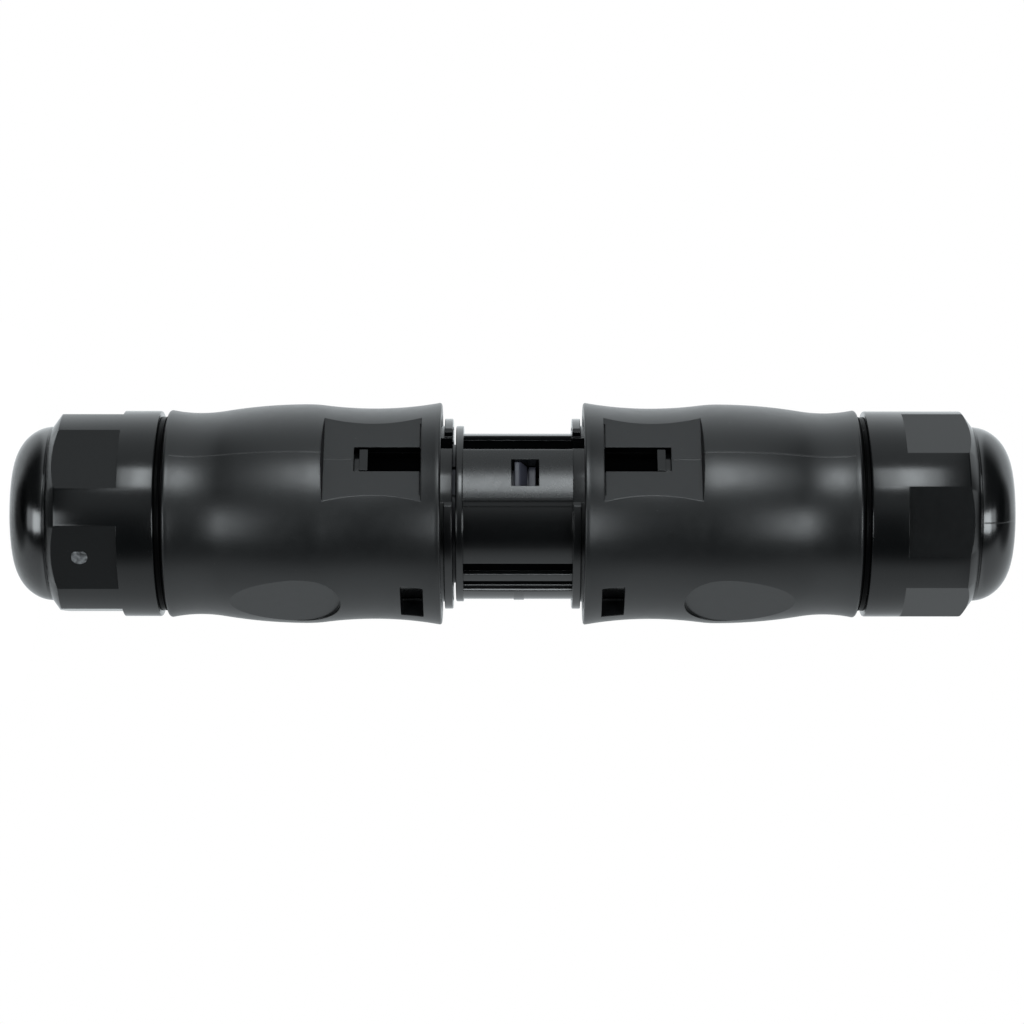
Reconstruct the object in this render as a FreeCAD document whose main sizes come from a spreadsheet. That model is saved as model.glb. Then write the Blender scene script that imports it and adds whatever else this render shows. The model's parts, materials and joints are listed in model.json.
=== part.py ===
import FreeCAD, Part
import math
import os
import re

import Sketcher

# A round cable coupler of two halves that plug together end to end, standing on its socket half.
# Each half is drawn in its own frame: the coupling plane is z = 0 and the cable end is at +z.

doc = FreeCAD.newDocument("Coupler")
sheet = doc.addObject("Spreadsheet::Sheet", "Sizes")

SIZES = [
    # where the two halves meet
    ("lip_station", 11.1, "coupling plane to the lip of each sleeve"),
    ("rim_reach", 1.8, "how far an insert's rim stands out of the lip"),
    ("slit_width", 0.45, "gap between the nose and the other half's rim"),
    # contacts and their screws
    ("contact_pitch", 6.4, "outer contacts from the middle one"),
    ("earth_offset", 1.2, "earth contact off the row"),
    ("row_offset", 0.8, "outer contacts off the row, the other way"),
    ("pin_radius", 1.25, "contact pins"),
    ("pin_reach", 4.2, "pins beyond the coupling plane"),
    ("pin_nose", 0.6, "chamfered end of a pin"),
    ("pin_play", 0.07, "pin in the socket contact"),
    ("tube_wall", 0.58, "wall of a socket contact"),
    ("tube_depth", 1.5, "socket contacts behind the core's face"),
    ("tube_room", 3.8, "bore of a socket contact beyond the pin's end"),
    ("terminal_start", 18.0, "terminal barrel from the coupling plane"),
    ("terminal_length", 13.0, "terminal barrel"),
    ("terminal_radius", 2.7, "terminal barrel"),
    ("terminal_play", 0.05, "contacts in their carrier"),
    ("wire_radius", 1.45, "wire hole in the terminal"),
    ("wire_depth", 9.0, "depth of the wire hole"),
    ("screw_inset", 4.0, "terminal screw from the barrel's end"),
    ("screw_radius", 1.2, "terminal screws"),
    ("screw_length", 3.0, "terminal screws"),
    ("screw_lift", 0.1, "open screw's foot above the wire hole"),
    ("screw_slot", 0.4, "slot of a terminal screw"),
    ("screw_slot_depth", 0.6, "depth of that slot"),
    ("driver_play", 0.5, "driver hole around a terminal screw"),
    # contact carriers
    ("carrier_wall", 2.4, "carrier outside the outer terminals"),
    ("carrier_play", 0.1, "carriers in the insert's bore"),
    ("core_step", 0.6, "socket core's front below its back"),
    ("core_reach", 7.0, "socket core beyond the coupling plane"),
    ("plate_gap", 1.0, "terminals to the wire plate"),
    ("plate_thickness", 1.5, "wire plate behind the terminals"),
    ("face_seal", 1.4, "flat seal at the bottom of the nose"),
    ("face_seal_gap", 0.2, "core to that seal"),
    ("face_seal_width", 2.1, "flat seal across"),
    # latch arms of the socket half
    ("arm_width", 4.5, "latch arm"),
    ("arm_thickness", 1.3, "latch arm"),
    ("arm_inset", 0.5, "arm's outer face below the core's"),
    ("arm_root", 14.3, "trunnion from the coupling plane"),
    ("arm_root_length", 0.9, "arm beyond its trunnion"),
    ("trunnion_inset", 0.8, "trunnion's axis below the arm's outer face"),
    ("trunnion_radius", 0.85, "trunnion"),
    ("trunnion_play", 0.06, "trunnion in its hole"),
    ("trunnion_reach", 0.75, "trunnion beyond each side of the arm"),
    ("hook_start", 0.3, "hook's holding face from the coupling plane"),
    ("hook_top", 0.9, "flat top of the hook"),
    ("hook_length", 2.0, "hook with its slope"),
    ("hook_inset", 0.9, "top of the hook below the panel's face"),
    ("toe_height", 0.8, "toe and slope's foot above the arm"),
    ("toe_gap", 0.2, "notch between the hook and the toe"),
    ("toe_length", 1.1, "toe that a tool presses"),
    ("channel_play", 0.4, "channel beside the arm, each side"),
    ("press_room", 2.5, "channel's floor below the arm"),
    ("channel_end", 2.2, "channel beyond the trunnion"),
    # inserts
    ("insert_wall", 2.25, "wall of the inserts"),
    ("insert_play", 0.15, "insert in the sleeve's bore"),
    ("rim_height", 1.15, "rim in front of the lip, above the insert"),
    ("rim_gap", 54.0, "angle of the break in the rim, where the panel runs through"),
    ("rim_bevel", 2.0, "angle of the slanting ends of the rim"),
    ("rim_edge", 0.25, "chamfer of the rim and the nose"),
    ("lug_length", 1.3, "snap lug along the insert"),
    ("lug_width", 3.9, "snap lug across the insert"),
    ("lug_height", 1.2, "snap lug above the insert"),
    ("lug_play", 0.85, "snap lug to the end of its slot"),
    ("tongue_drop", 1.5, "springy wall in front of the lug, below the insert's outside"),
    ("groove_land", 2.4, "insert's end to its seal groove"),
    ("groove_drop", 0.95, "depth of the seal groove"),
    ("groove_play", 0.08, "seal to each side of its groove"),
    ("cord_play", 0.03, "seal to the groove's floor and to the bore"),
    # nose of the plug half
    ("nose_flange", 1.2, "flange at the front of the nose"),
    ("plate_drop", 0.85, "plates of the nose below the flange"),
    ("panel_angle", 37.8, "raised panel with the latch window"),
    ("panel_turn", 5.6, "panel, window and latch turned on from the middle of the pads"),
    ("groove_angle", 19.4, "deep groove beside the panel"),
    ("groove_depth", 1.0, "that groove below the plates"),
    ("plate_angle", 44.8, "plate beyond the groove"),
    ("step_angle", 7.0, "shallow step at the plate's other edge"),
    ("step_depth", 0.3, "that step below the plates"),
    ("gully_angle", 7.5, "gully between the step and the rib"),
    ("rib_angle", 4.5, "guide rib"),
    ("rib_depth", 0.25, "rib below the plates"),
    ("key_angle", 10.5, "key groove between the rib and the recess"),
    ("key_depth", 0.85, "key groove below the plates"),
    ("recess_depth", 0.6, "wide recess below the plates"),
    ("frame_angle", 3.5, "frame between the panel and the recess"),
    ("window_back", 0.2, "latch window's edge beyond the coupling plane, towards the nose's front"),
    ("window_room", 0.5, "latch window beyond the toe"),
    ("window_play", 0.1, "latch window beside the arm"),
    ("pip_start", 0.2, "pip on each plate, from the coupling plane"),
    ("pip_width", 1.6, "pip along the nose"),
    ("pip_height", 0.15, "how far the pip stands out"),
    ("pip_span", 5.0, "angle across the pip"),
    # gland, from the cable outwards
    ("seal_bore", 6.4, "cable seal inside, around the thickest cable"),
    ("seal_wall", 2.55, "wall of the cable seal"),
    ("web_lead", 1.4, "hole in the web, wider than the seal's bore"),
    ("flange_thickness", 1.5, "flange of the cable seal"),
    ("seal_end_gap", 1.6, "end of the seal before the slip ring's seat"),
    ("cage_play", 0.35, "cage around the seal"),
    ("cage_wall", 1.75, "thickness of the cage and its fingers"),
    ("cage_ring", 3.2, "closed ring at the foot of the cage"),
    ("tip_thickness", 0.65, "fingers at their tips"),
    ("finger_gap", 1.2, "slot between fingers"),
    ("finger_pairs", 5, "slots across the cage, each of which parts two fingers"),
    ("finger_reach", 5.7, "spigot's end to the slip ring's seat"),
    ("tip_gap", 0.2, "finger tips before the slip ring's seat"),
    ("ring_thickness", 1.9, "slip ring"),
    ("ring_clearance", 0.3, "slip ring to the nut and to the fingers"),
    ("seat_clearance", 0.15, "seal and cage in the gland bore"),
    ("spigot_wall", 1.75, "wall of the threaded spigot, at its root"),
    ("spigot_length", 8.5, "spigot beyond the tail"),
    ("spigot_edge", 0.4, "chamfer of the spigot's end"),
    ("thread_height", 0.65, "root of the spigot's thread to the root of the nut's"),
    # gland nut
    ("nut_wall", 2.6, "collar and lands outside the thread"),
    ("seal_gap", 0.75, "tail to nut, where the ring seal shows"),
    ("ring_seal_inset", 0.3, "ring seal below the collar"),
    ("ring_seal_play", 0.05, "ring seal to the nut and the spigot"),
    ("collar_length", 6.15, "round collar in front of the flats"),
    ("hex_length", 9.0, "flats up to the chamfer"),
    ("flat_depth", 0.95, "flats below the collar"),
    ("socket_nut_roll", 0.0, "turn of the socket half's nut once tightened"),
    ("plug_nut_roll", -21.8, "turn of the plug half's nut once tightened"),
    ("nut_chamfer", 2.4, "chamfer at the end of the flats"),
    ("dome_groove", 0.15, "fine groove at the dome's root"),
    ("dome_face", 1.1, "flat end of the dome around the cable hole"),
    ("cable_hole", 6.6, "hole for the cable"),
    ("hole_edge", 0.4, "chamfer of that hole"),
    ("end_wall", 3.0, "wall at the cable hole"),
    ("end_cone", 2.4, "cone inside the dome"),
    ("throat_step", 3.2, "slip ring's seat across"),
    ("nut_edge", 0.3, "chamfer of the collar"),
    # sleeve, inside
    ("mouth_play", 0.3, "rim in the sleeve's mouth"),
    ("mouth_depth", 2.2, "counterbore that takes the rim"),
    ("wiring_room", 12.0, "bore beyond the insert, for the stripped wires"),
    ("funnel_length", 2.6, "cone between the bore and the web"),
    ("web_thickness", 1.4, "web that carries the cable seal"),
    ("gland_depth", 4.5, "seat of the cable seal to the tail"),
    # sleeve, outside: stations are measured from the lip
    ("barrel_wall", 3.27, "fullest part of the barrel, outside its bore"),
    ("belly_station", 21.0, "where the barrel is fullest"),
    ("belly_curve", 21.0, "radius of the belly's curve towards the waist"),
    ("waist_depth", 0.67, "how far the waist is drawn in below the belly"),
    ("waist_station", 10.5, "where the waist is slimmest"),
    ("lip_flare", 0.9, "how far the lip stands above the waist"),
    ("lip_round", 0.35, "rounding of the lip"),
    ("neck_curve", 24.0, "radius of the neck's curve towards the belly"),
    ("tail_run", 4.9, "slimmest part of the neck to the tail"),
    ("tail_flare", 0.45, "how far the tail stands above the neck"),
    ("tail_stand", 0.13, "how far the tail stands above the nut"),
    ("tail_round", 0.5, "rounding of the tail"),
    # sleeve, flats and openings
    ("pad_wall", 1.2, "wall under the flat pads"),
    ("pad_start", 3.0, "pad and slot from the lip"),
    ("pad_length", 15.1, "length of the pad"),
    ("slot_length", 10.4, "release slot along the sleeve"),
    ("slot_play", 0.3, "release slot beside the snap lug"),
    ("window_start", 2.75, "side window from the lip"),
    ("window_length", 3.7, "side window along the sleeve"),
    ("window_width", 8.2, "side window across the sleeve"),
    ("scoop_depth", 1.17, "blunt end of the thumb scoop below the belly"),
    ("scoop_start", 15.6, "blunt end of the scoop from the lip"),
    ("scoop_width", 11.6, "full width of the scoop"),
    ("scoop_slope", 1.0, "angle at which the scoop's floor rises towards the tail"),
]

for row, (alias, value, note) in enumerate(SIZES, start=1):
    sheet.set(f"A{row}", alias)
    sheet.set(f"B{row}", str(value))
    sheet.set(f"C{row}", note)
    sheet.setAlias(f"B{row}", alias)
doc.recompute()
ALIASES = {alias for alias, _, _ in SIZES}

# what follows from the sizes: the contacts and carriers
TERMINAL_END = "(terminal_start + terminal_length)"
SCREW_STATION = f"({TERMINAL_END} - screw_inset)"
DRIVER_RADIUS = "(screw_radius + driver_play)"
TUBE_BOTTOM = "(pin_reach + tube_room)"
CARRIER_RADIUS = "(contact_pitch + terminal_radius + carrier_wall)"
CARRIER_END = f"({TERMINAL_END} + plate_gap)"
CORE_RADIUS = f"({CARRIER_RADIUS} - core_step)"
SEAL_FACE = "(core_reach + face_seal_gap)"
CARRIER_FACE = f"({SEAL_FACE} + face_seal)"

# the latch arms
ARM_OUTER = f"({CORE_RADIUS} - arm_inset)"
ARM_INNER = f"({ARM_OUTER} - arm_thickness)"
ARM_PIVOT = f"({ARM_OUTER} - trunnion_inset)"
TOE_TOP = f"({ARM_OUTER} + toe_height)"
HOOK_END = "(hook_start + hook_length)"
TOE_END = f"({HOOK_END} + toe_gap + toe_length)"
CHANNEL_FLOOR = f"({ARM_INNER} - press_room)"

# the inserts, with the nose, and the bore around them
INSERT_BORE = f"({CARRIER_RADIUS} + carrier_play)"
INSERT_RADIUS = f"({INSERT_BORE} + insert_wall)"
INSERT_END = f"({CARRIER_END} + plate_thickness)"
WALL_MIDDLE = f"({INSERT_BORE} + insert_wall / 2)"
BORE_RADIUS = f"({INSERT_RADIUS} + insert_play)"
RIM_RADIUS = f"({INSERT_RADIUS} + rim_height)"
RIM_FRONT = "(lip_station - rim_reach)"
RIM_BACK = "(lip_station + mouth_depth)"
MOUTH_RADIUS = f"({RIM_RADIUS} + mouth_play)"
GROOVE_FLOOR = f"({INSERT_RADIUS} - groove_drop)"
CORD_RADIUS = f"(({BORE_RADIUS} - {GROOVE_FLOOR}) / 2 - cord_play)"
GROOVE_BACK = f"({INSERT_END} - groove_land)"
GROOVE_FRONT = f"({GROOVE_BACK} - 2 * {CORD_RADIUS} - 2 * groove_play)"
NOSE_FRONT = f"({RIM_FRONT} - slit_width)"
NOSE_RADIUS = f"({INSERT_RADIUS} - plate_drop)"
PANEL_EDGE = "(90 + panel_turn - panel_angle / 2)"
SLOT_END = "(lip_station + pad_start + slot_length)"
SLOT_WIDTH = "(lug_width + 2 * slot_play)"

# the gland and its nut, from the cable outwards
SEAL_RADIUS = "(seal_bore + seal_wall)"
CAGE_INNER = f"({SEAL_RADIUS} + cage_play)"
CAGE_RADIUS = f"({CAGE_INNER} + cage_wall)"
FINGER_TIP = f"({CAGE_INNER} + tip_thickness)"
GLAND_BORE = f"({CAGE_RADIUS} + seat_clearance)"
SPIGOT_RADIUS = f"({GLAND_BORE} + spigot_wall)"
NUT_BORE = f"({SPIGOT_RADIUS} + thread_height)"
NUT_RADIUS = f"({NUT_BORE} + nut_wall)"
THROAT_RADIUS = f"({NUT_BORE} - throat_step)"
DOME_RADIUS = f"({NUT_RADIUS} - nut_chamfer)"
DOME_FLAT = "(cable_hole + dome_face)"

# stations along a half, from the insert to the end of the nut
BORE_END = f"({INSERT_END} + wiring_room)"
WEB_FRONT = f"({BORE_END} + funnel_length)"
SEAT = f"({WEB_FRONT} + web_thickness)"
CAGE_FRONT = f"({SEAT} + flange_thickness)"
TAIL = f"({SEAT} + gland_depth)"
SPIGOT_END = f"({TAIL} + spigot_length)"
RING_SEAT = f"({SPIGOT_END} + finger_reach)"
CAGE_END = f"({RING_SEAT} - tip_gap)"
NUT_FRONT = f"({TAIL} + seal_gap)"
HEX_START = f"({NUT_FRONT} + collar_length)"
HEX_END = f"({HEX_START} + hex_length)"
DOME_START = f"({HEX_END} + nut_chamfer)"
NUT_END = f"({DOME_START} + {DOME_RADIUS} - {DOME_FLAT})"
MID_HEIGHT = NUT_END

# the sleeve outside
BELLY = f"({BORE_RADIUS} + barrel_wall)"
WAIST = f"({BELLY} - waist_depth)"
LIP = f"({WAIST} + lip_flare)"
TAIL_RADIUS = f"({NUT_RADIUS} + tail_stand)"
NECK = f"({TAIL_RADIUS} - tail_flare)"
PAD_DISTANCE = f"({BORE_RADIUS} + pad_wall)"
SCOOP_FLOOR = f"({BELLY} - scoop_depth)"


def bound(words):
    """The words of an expression, with each size read from the sheet."""
    return re.sub(r"[a-z_]+", lambda word: f"Sizes.{word[0]}" if word[0] in ALIASES else word[0], words)


def number(words):
    return float(sheet.evalExpression(bound(words)))


def origin_plane(body, role):
    return next(plane for plane in body.Origin.OriginFeatures if plane.Role == role)


def corner(x, y):
    """A corner whose edge to the next corner is straight."""
    return x, y, None, None


def arc(x, y, radius, side):
    """A corner with an arc to the next one, whose centre is to the left or right of the way there."""
    return x, y, radius, side


def rectangle(low_x, low_y, high_x, high_y):
    return [corner(low_x, low_y), corner(high_x, low_y), corner(high_x, high_y), corner(low_x, high_y)]


def mirrored_pair(low_x, low_y, high_x, high_y):
    """A rectangle and its mirror image across the sketch's upright axis."""
    return [rectangle(low_x, low_y, high_x, high_y), rectangle(f"-{high_x}", low_y, f"-{low_x}", high_y)]


def sector(inner, outer, start, end, flare="0"):
    """A slice of a ring between two angles in degrees, wider at its outer edge by the flare on each side."""
    low = f"({start} - {flare})"
    high = f"({end} + {flare})"
    return [
        corner(f"{inner} * cos({start})", f"{inner} * sin({start})"),
        arc(f"{outer} * cos({low})", f"{outer} * sin({low})", outer, "left"),
        corner(f"{outer} * cos({high})", f"{outer} * sin({high})"),
        arc(f"{inner} * cos({end})", f"{inner} * sin({end})", inner, "right"),
    ]


def both_sides(inner, outer, start, end, flare="0"):
    """The slice and its twin half a turn away."""
    return [
        sector(inner, outer, start, end, flare),
        sector(inner, outer, f"({start} + 180)", f"({end} + 180)", flare),
    ]


def hold(sketch, kind, words, *where):
    """A constraint whose value is read from the sheet."""
    value = number(words)
    if kind != "Radius" and abs(value) < 1e-9:
        axis = -2 if kind == "DistanceX" else -1
        sketch.addConstraint(Sketcher.Constraint("PointOnObject", *where[2:], axis))
        return
    index = sketch.addConstraint(Sketcher.Constraint(kind, *where, value))
    sketch.setExpression(f"Constraints[{index}]", bound(words))


def draw_edges(sketch, outline):
    """A closed chain of lines and arcs through the outline's corners."""
    points = [FreeCAD.Vector(number(x), number(y), 0) for x, y, _, _ in outline]
    ends = []
    for place, (x, y, radius, side) in enumerate(outline):
        start = points[place]
        end = points[(place + 1) % len(points)]
        if radius is None:
            edge = sketch.addGeometry(Part.LineSegment(start, end), False)
            ends.append((edge, 1, 2))
            continue
        turn = 1 if side == "left" else -1
        reach = number(radius)
        chord = end - start
        rise = math.sqrt(max(reach**2 - (chord.Length / 2) ** 2, 0))
        across = FreeCAD.Vector(-chord.y, chord.x, 0).normalize()
        centre = (start + end) * 0.5 + across * rise * turn
        first, last = (start, end) if turn > 0 else (end, start)
        low = math.atan2(first.y - centre.y, first.x - centre.x)
        high = math.atan2(last.y - centre.y, last.x - centre.x)
        circle = Part.Circle(centre, FreeCAD.Vector(0, 0, 1), reach)
        edge = sketch.addGeometry(Part.ArcOfCircle(circle, low, high), False)
        ends.append((edge, 1, 2) if turn > 0 else (edge, 2, 1))
    for place, (x, y, radius, side) in enumerate(outline):
        edge, first, last = ends[place]
        following, joined, _ = ends[(place + 1) % len(ends)]
        sketch.addConstraint(Sketcher.Constraint("Coincident", edge, last, following, joined))
        hold(sketch, "DistanceX", x, -1, 1, edge, first)
        hold(sketch, "DistanceY", y, -1, 1, edge, first)
        if radius is not None:
            hold(sketch, "Radius", radius, edge)


def draw_circle(sketch, x, y, radius):
    centre = FreeCAD.Vector(number(x), number(y), 0)
    circle = Part.Circle(centre, FreeCAD.Vector(0, 0, 1), number(radius))
    edge = sketch.addGeometry(circle, False)
    hold(sketch, "DistanceX", x, -1, 1, edge, 3)
    hold(sketch, "DistanceY", y, -1, 1, edge, 3)
    hold(sketch, "Radius", radius, edge)


def sketch_on(body, name, role, outlines=(), circles=(), offset=None, turn=None):
    """A sketch on one of the body's planes, moved off it and turned about an axis of its own."""
    sketch = body.newObject("Sketcher::SketchObject", name)
    sketch.AttachmentSupport = [(origin_plane(body, role), "")]
    sketch.MapMode = "FlatFace"
    if turn is not None:
        axis, angle = turn
        sketch.AttachmentOffset = FreeCAD.Placement(FreeCAD.Vector(), FreeCAD.Rotation(axis, number(angle)))
        sketch.setExpression("AttachmentOffset.Rotation.Angle", bound(angle))
    if offset is not None:
        sketch.setExpression("AttachmentOffset.Base.z", bound(offset))
    for outline in outlines:
        draw_edges(sketch, outline)
    for x, y, radius in circles:
        draw_circle(sketch, x, y, radius)
    return sketch


def revolve(body, name, outline=None, circle=None):
    """A turned solid. The section's x is the radius and its y the height."""
    feature = body.newObject("PartDesign::Revolution", name)
    outlines = [outline] if outline else []
    circles = [circle] if circle else []
    feature.Profile = sketch_on(body, f"{name}_profile", "XZ_Plane", outlines, circles)
    feature.ReferenceAxis = (feature.Profile[0], ["V_Axis"])
    feature.Angle = 360
    return feature


def extrude(body, kind, name, sketch, length, reverse=False, symmetric=False):
    feature = body.newObject(f"PartDesign::{kind}", name)
    feature.Profile = sketch
    feature.Type = 0
    feature.setExpression("Length", bound(length))
    feature.Midplane = symmetric
    feature.Reversed = reverse
    return feature


def pad_up(body, name, outlines, start, length, circles=()):
    sketch = sketch_on(body, f"{name}_sketch", "XY_Plane", outlines, circles, start)
    return extrude(body, "Pad", name, sketch, length)


def cut_up(body, name, outlines, start, length, circles=(), turn=None):
    """Cuts from the height start towards the cable end."""
    sketch = sketch_on(body, f"{name}_sketch", "XY_Plane", outlines, circles, start, turn)
    return extrude(body, "Pocket", name, sketch, length, reverse=True)


def cut_through(body, name, role, outlines, width, circles=(), turn=None):
    """Cuts as far on one side of the plane as on the other."""
    sketch = sketch_on(body, f"{name}_sketch", role, outlines, circles, turn=turn)
    return extrude(body, "Pocket", name, sketch, width, symmetric=True)


def pad_across(body, name, role, outlines, width, circles=(), turn=None):
    sketch = sketch_on(body, f"{name}_sketch", role, outlines, circles, turn=turn)
    return extrude(body, "Pad", name, sketch, width, symmetric=True)


def cut_front(body, name, circles, depth):
    """Round holes from the XZ plane towards -Y, where the screwdriver comes in."""
    sketch = sketch_on(body, f"{name}_sketch", "XZ_Plane", (), circles)
    return extrude(body, "Pocket", name, sketch, depth, reverse=True)


def new_body(half, label, x="0", y="0"):
    """A sub-part of one half. The socket half is turned over, so that its cable end points down."""
    body = doc.addObject("PartDesign::Body", label)
    body.Label = label
    turned = half == "socket"
    if turned:
        body.Placement.Rotation = FreeCAD.Rotation(FreeCAD.Vector(0, 1, 0), 180)
    body.setExpression("Placement.Base.x", bound(f"-({x})" if turned else x))
    body.setExpression("Placement.Base.y", bound(y))
    body.setExpression("Placement.Base.z", bound(MID_HEIGHT))
    pieces.append(body)
    return body


def latch_turn(half, role):
    """The latch's turn about the half's axis, for a sketch on the given plane."""
    way = 1 if half == "plug" else -1
    axis = FreeCAD.Vector(0, 0, way) if role == "XY_Plane" else FreeCAD.Vector(0, way, 0)
    return axis, "panel_turn"


def contact_places():
    """Line, earth and neutral: the row of contacts in a half's frame."""
    return [
        ("line", "(-contact_pitch)", "(-row_offset)"),
        ("earth", "0", "earth_offset"),
        ("neutral", "contact_pitch", "(-row_offset)"),
    ]


def contact_circles(radius):
    return [(x, y, radius) for _, x, y in contact_places()]


def driver_circles():
    return [(x, SCREW_STATION, DRIVER_RADIUS) for _, x, _ in contact_places()]


def barrel_outline():
    """The sleeve's section. Each pair of its long curves meets on the line between their centres."""
    front_run = "(belly_station - waist_station)"
    front_sum = f"(({front_run}^2 + waist_depth^2) / (2 * waist_depth))"
    front_share = f"(({front_sum} - belly_curve) / {front_sum})"
    back_run = f"({TAIL} - tail_run - lip_station - belly_station)"
    neck_depth = f"({BELLY} - {NECK})"
    back_sum = f"(({back_run}^2 + {neck_depth}^2) / (2 * {neck_depth}))"
    back_share = f"(({back_sum} - neck_curve) / {back_sum})"
    lip_run = "(waist_station - lip_round)"
    lip_curve = f"(({lip_run}^2 + lip_flare^2) / (2 * lip_flare))"
    tail_free = "(tail_run - tail_round)"
    tail_curve = f"(({tail_free}^2 + tail_flare^2) / (2 * tail_flare))"
    return [
        corner(MOUTH_RADIUS, "lip_station"),
        arc(f"{LIP} - lip_round", "lip_station", "lip_round", "left"),
        arc(LIP, "lip_station + lip_round", lip_curve, "right"),
        arc(WAIST, "lip_station + waist_station", f"{front_sum} - belly_curve", "right"),
        arc(
            f"{WAIST} + waist_depth * {front_share}",
            f"lip_station + waist_station + {front_run} * {front_share}",
            "belly_curve",
            "left",
        ),
        arc(BELLY, "lip_station + belly_station", f"{back_sum} - neck_curve", "left"),
        arc(
            f"{BELLY} - {neck_depth} * {back_share}",
            f"lip_station + belly_station + {back_run} * {back_share}",
            "neck_curve",
            "right",
        ),
        arc(NECK, f"{TAIL} - tail_run", tail_curve, "right"),
        arc(TAIL_RADIUS, f"{TAIL} - tail_round", "tail_round", "left"),
        corner(f"{TAIL_RADIUS} - tail_round", TAIL),
        corner(SPIGOT_RADIUS, TAIL),
        corner(SPIGOT_RADIUS, f"{SPIGOT_END} - spigot_edge"),
        corner(f"{SPIGOT_RADIUS} - spigot_edge", SPIGOT_END),
        corner(GLAND_BORE, SPIGOT_END),
        corner(GLAND_BORE, SEAT),
        corner("seal_bore + web_lead", SEAT),
        corner("seal_bore + web_lead", WEB_FRONT),
        corner(BORE_RADIUS, BORE_END),
        corner(BORE_RADIUS, RIM_BACK),
        corner(MOUTH_RADIUS, RIM_BACK),
    ]


def make_sleeve(half):
    body = new_body(half, f"{half}_sleeve")
    revolve(body, f"{half}_barrel", barrel_outline())
    wide = f"(2 * {BELLY})"
    low = "lip_station + pad_start"
    pads = mirrored_pair(PAD_DISTANCE, low, BELLY, f"{low} + pad_length")
    cut_through(body, f"{half}_pads", "YZ_Plane", pads, wide)
    slots = mirrored_pair(INSERT_RADIUS, low, BELLY, SLOT_END)
    cut_through(body, f"{half}_slots", "YZ_Plane", slots, SLOT_WIDTH)
    low = "lip_station + window_start"
    windows = mirrored_pair(INSERT_RADIUS, low, BELLY, f"{low} + window_length")
    cut_through(body, f"{half}_windows", "XZ_Plane", windows, "window_width")
    cut_scoops(body, half)


def cut_scoops(body, half):
    """A thumb scoop on each side: a plane cut with a round blunt end, whose floor rises towards the tail."""
    low = "(lip_station + scoop_start)"
    edge = "(scoop_width / 2)"
    high = f"{TAIL} - tail_run"
    scoop = [
        arc(f"-{edge}", f"{low} + {edge}", edge, "left"),
        arc("0", low, edge, "left"),
        corner(edge, f"{low} + {edge}"),
        corner(edge, high),
        corner(f"-{edge}", high),
    ]
    offset = f"{SCOOP_FLOOR} - {low} * tan(scoop_slope)"
    slope = (FreeCAD.Vector(1, 0, 0), "scoop_slope")
    sketch = sketch_on(body, f"{half}_scoop_sketch", "YZ_Plane", [scoop], (), offset, slope)
    cut = extrude(body, "Pocket", f"{half}_scoop", sketch, BELLY, reverse=True)
    doc.recompute()
    twin = body.newObject("PartDesign::Mirrored", f"{half}_scoops")
    twin.Originals = [cut]
    twin.MirrorPlane = (origin_plane(body, "YZ_Plane"), [""])
    body.Tip = twin


def make_nut(half):
    body = new_body(half, f"{half}_gland_nut")
    outline = [
        corner(NUT_BORE, NUT_FRONT),
        corner(f"{NUT_RADIUS} - nut_edge", NUT_FRONT),
        corner(NUT_RADIUS, f"{NUT_FRONT} + nut_edge"),
        corner(NUT_RADIUS, HEX_END),
        corner(f"{DOME_RADIUS} - dome_groove", DOME_START),
        arc(DOME_RADIUS, DOME_START, f"{DOME_RADIUS} - {DOME_FLAT}", "left"),
        corner(DOME_FLAT, NUT_END),
        corner("cable_hole + hole_edge", NUT_END),
        corner("cable_hole", f"{NUT_END} - hole_edge"),
        corner("cable_hole", f"{NUT_END} - end_wall"),
        corner(f"{THROAT_RADIUS} - end_cone", f"{NUT_END} - end_wall"),
        corner(THROAT_RADIUS, f"{NUT_END} - end_wall - end_cone"),
        corner(THROAT_RADIUS, RING_SEAT),
        corner(NUT_BORE, RING_SEAT),
    ]
    revolve(body, f"{half}_nut_turned", outline)
    reach = f"({NUT_RADIUS} - flat_depth) / cos(30)"
    angles = [f"({half}_nut_roll + {turn})" for turn in range(0, 360, 60)]
    hexagon = [corner(f"{reach} * cos({angle})", f"{reach} * sin({angle})") for angle in angles]
    outside = [("0", "0", f"2 * {NUT_RADIUS}")]
    cut_up(body, f"{half}_flats", [hexagon], HEX_START, f"{DOME_START} - {HEX_START}", outside)


def make_ring_seal(half):
    """The flat ring that shows as a dark line between the sleeve's tail and the nut."""
    body = new_body(half, f"{half}_nut_seal")
    back = f"{NUT_FRONT} - ring_seal_play"
    inside = f"{SPIGOT_RADIUS} + ring_seal_play"
    outside = f"{NUT_RADIUS} - ring_seal_inset"
    outline = [
        corner(inside, TAIL),
        arc(outside, TAIL, "seal_gap", "left"),
        corner(outside, back),
        corner(inside, back),
    ]
    revolve(body, f"{half}_ring_seal", outline)


def make_grommet(half):
    """The cable seal, with a flange that seats on the web."""
    body = new_body(half, f"{half}_grommet")
    end = f"{RING_SEAT} - seal_end_gap"
    outline = [
        corner("seal_bore", SEAT),
        corner(CAGE_RADIUS, SEAT),
        corner(CAGE_RADIUS, CAGE_FRONT),
        corner(SEAL_RADIUS, CAGE_FRONT),
        corner(SEAL_RADIUS, end),
        corner("seal_bore", end),
    ]
    revolve(body, f"{half}_cable_seal", outline)


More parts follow.
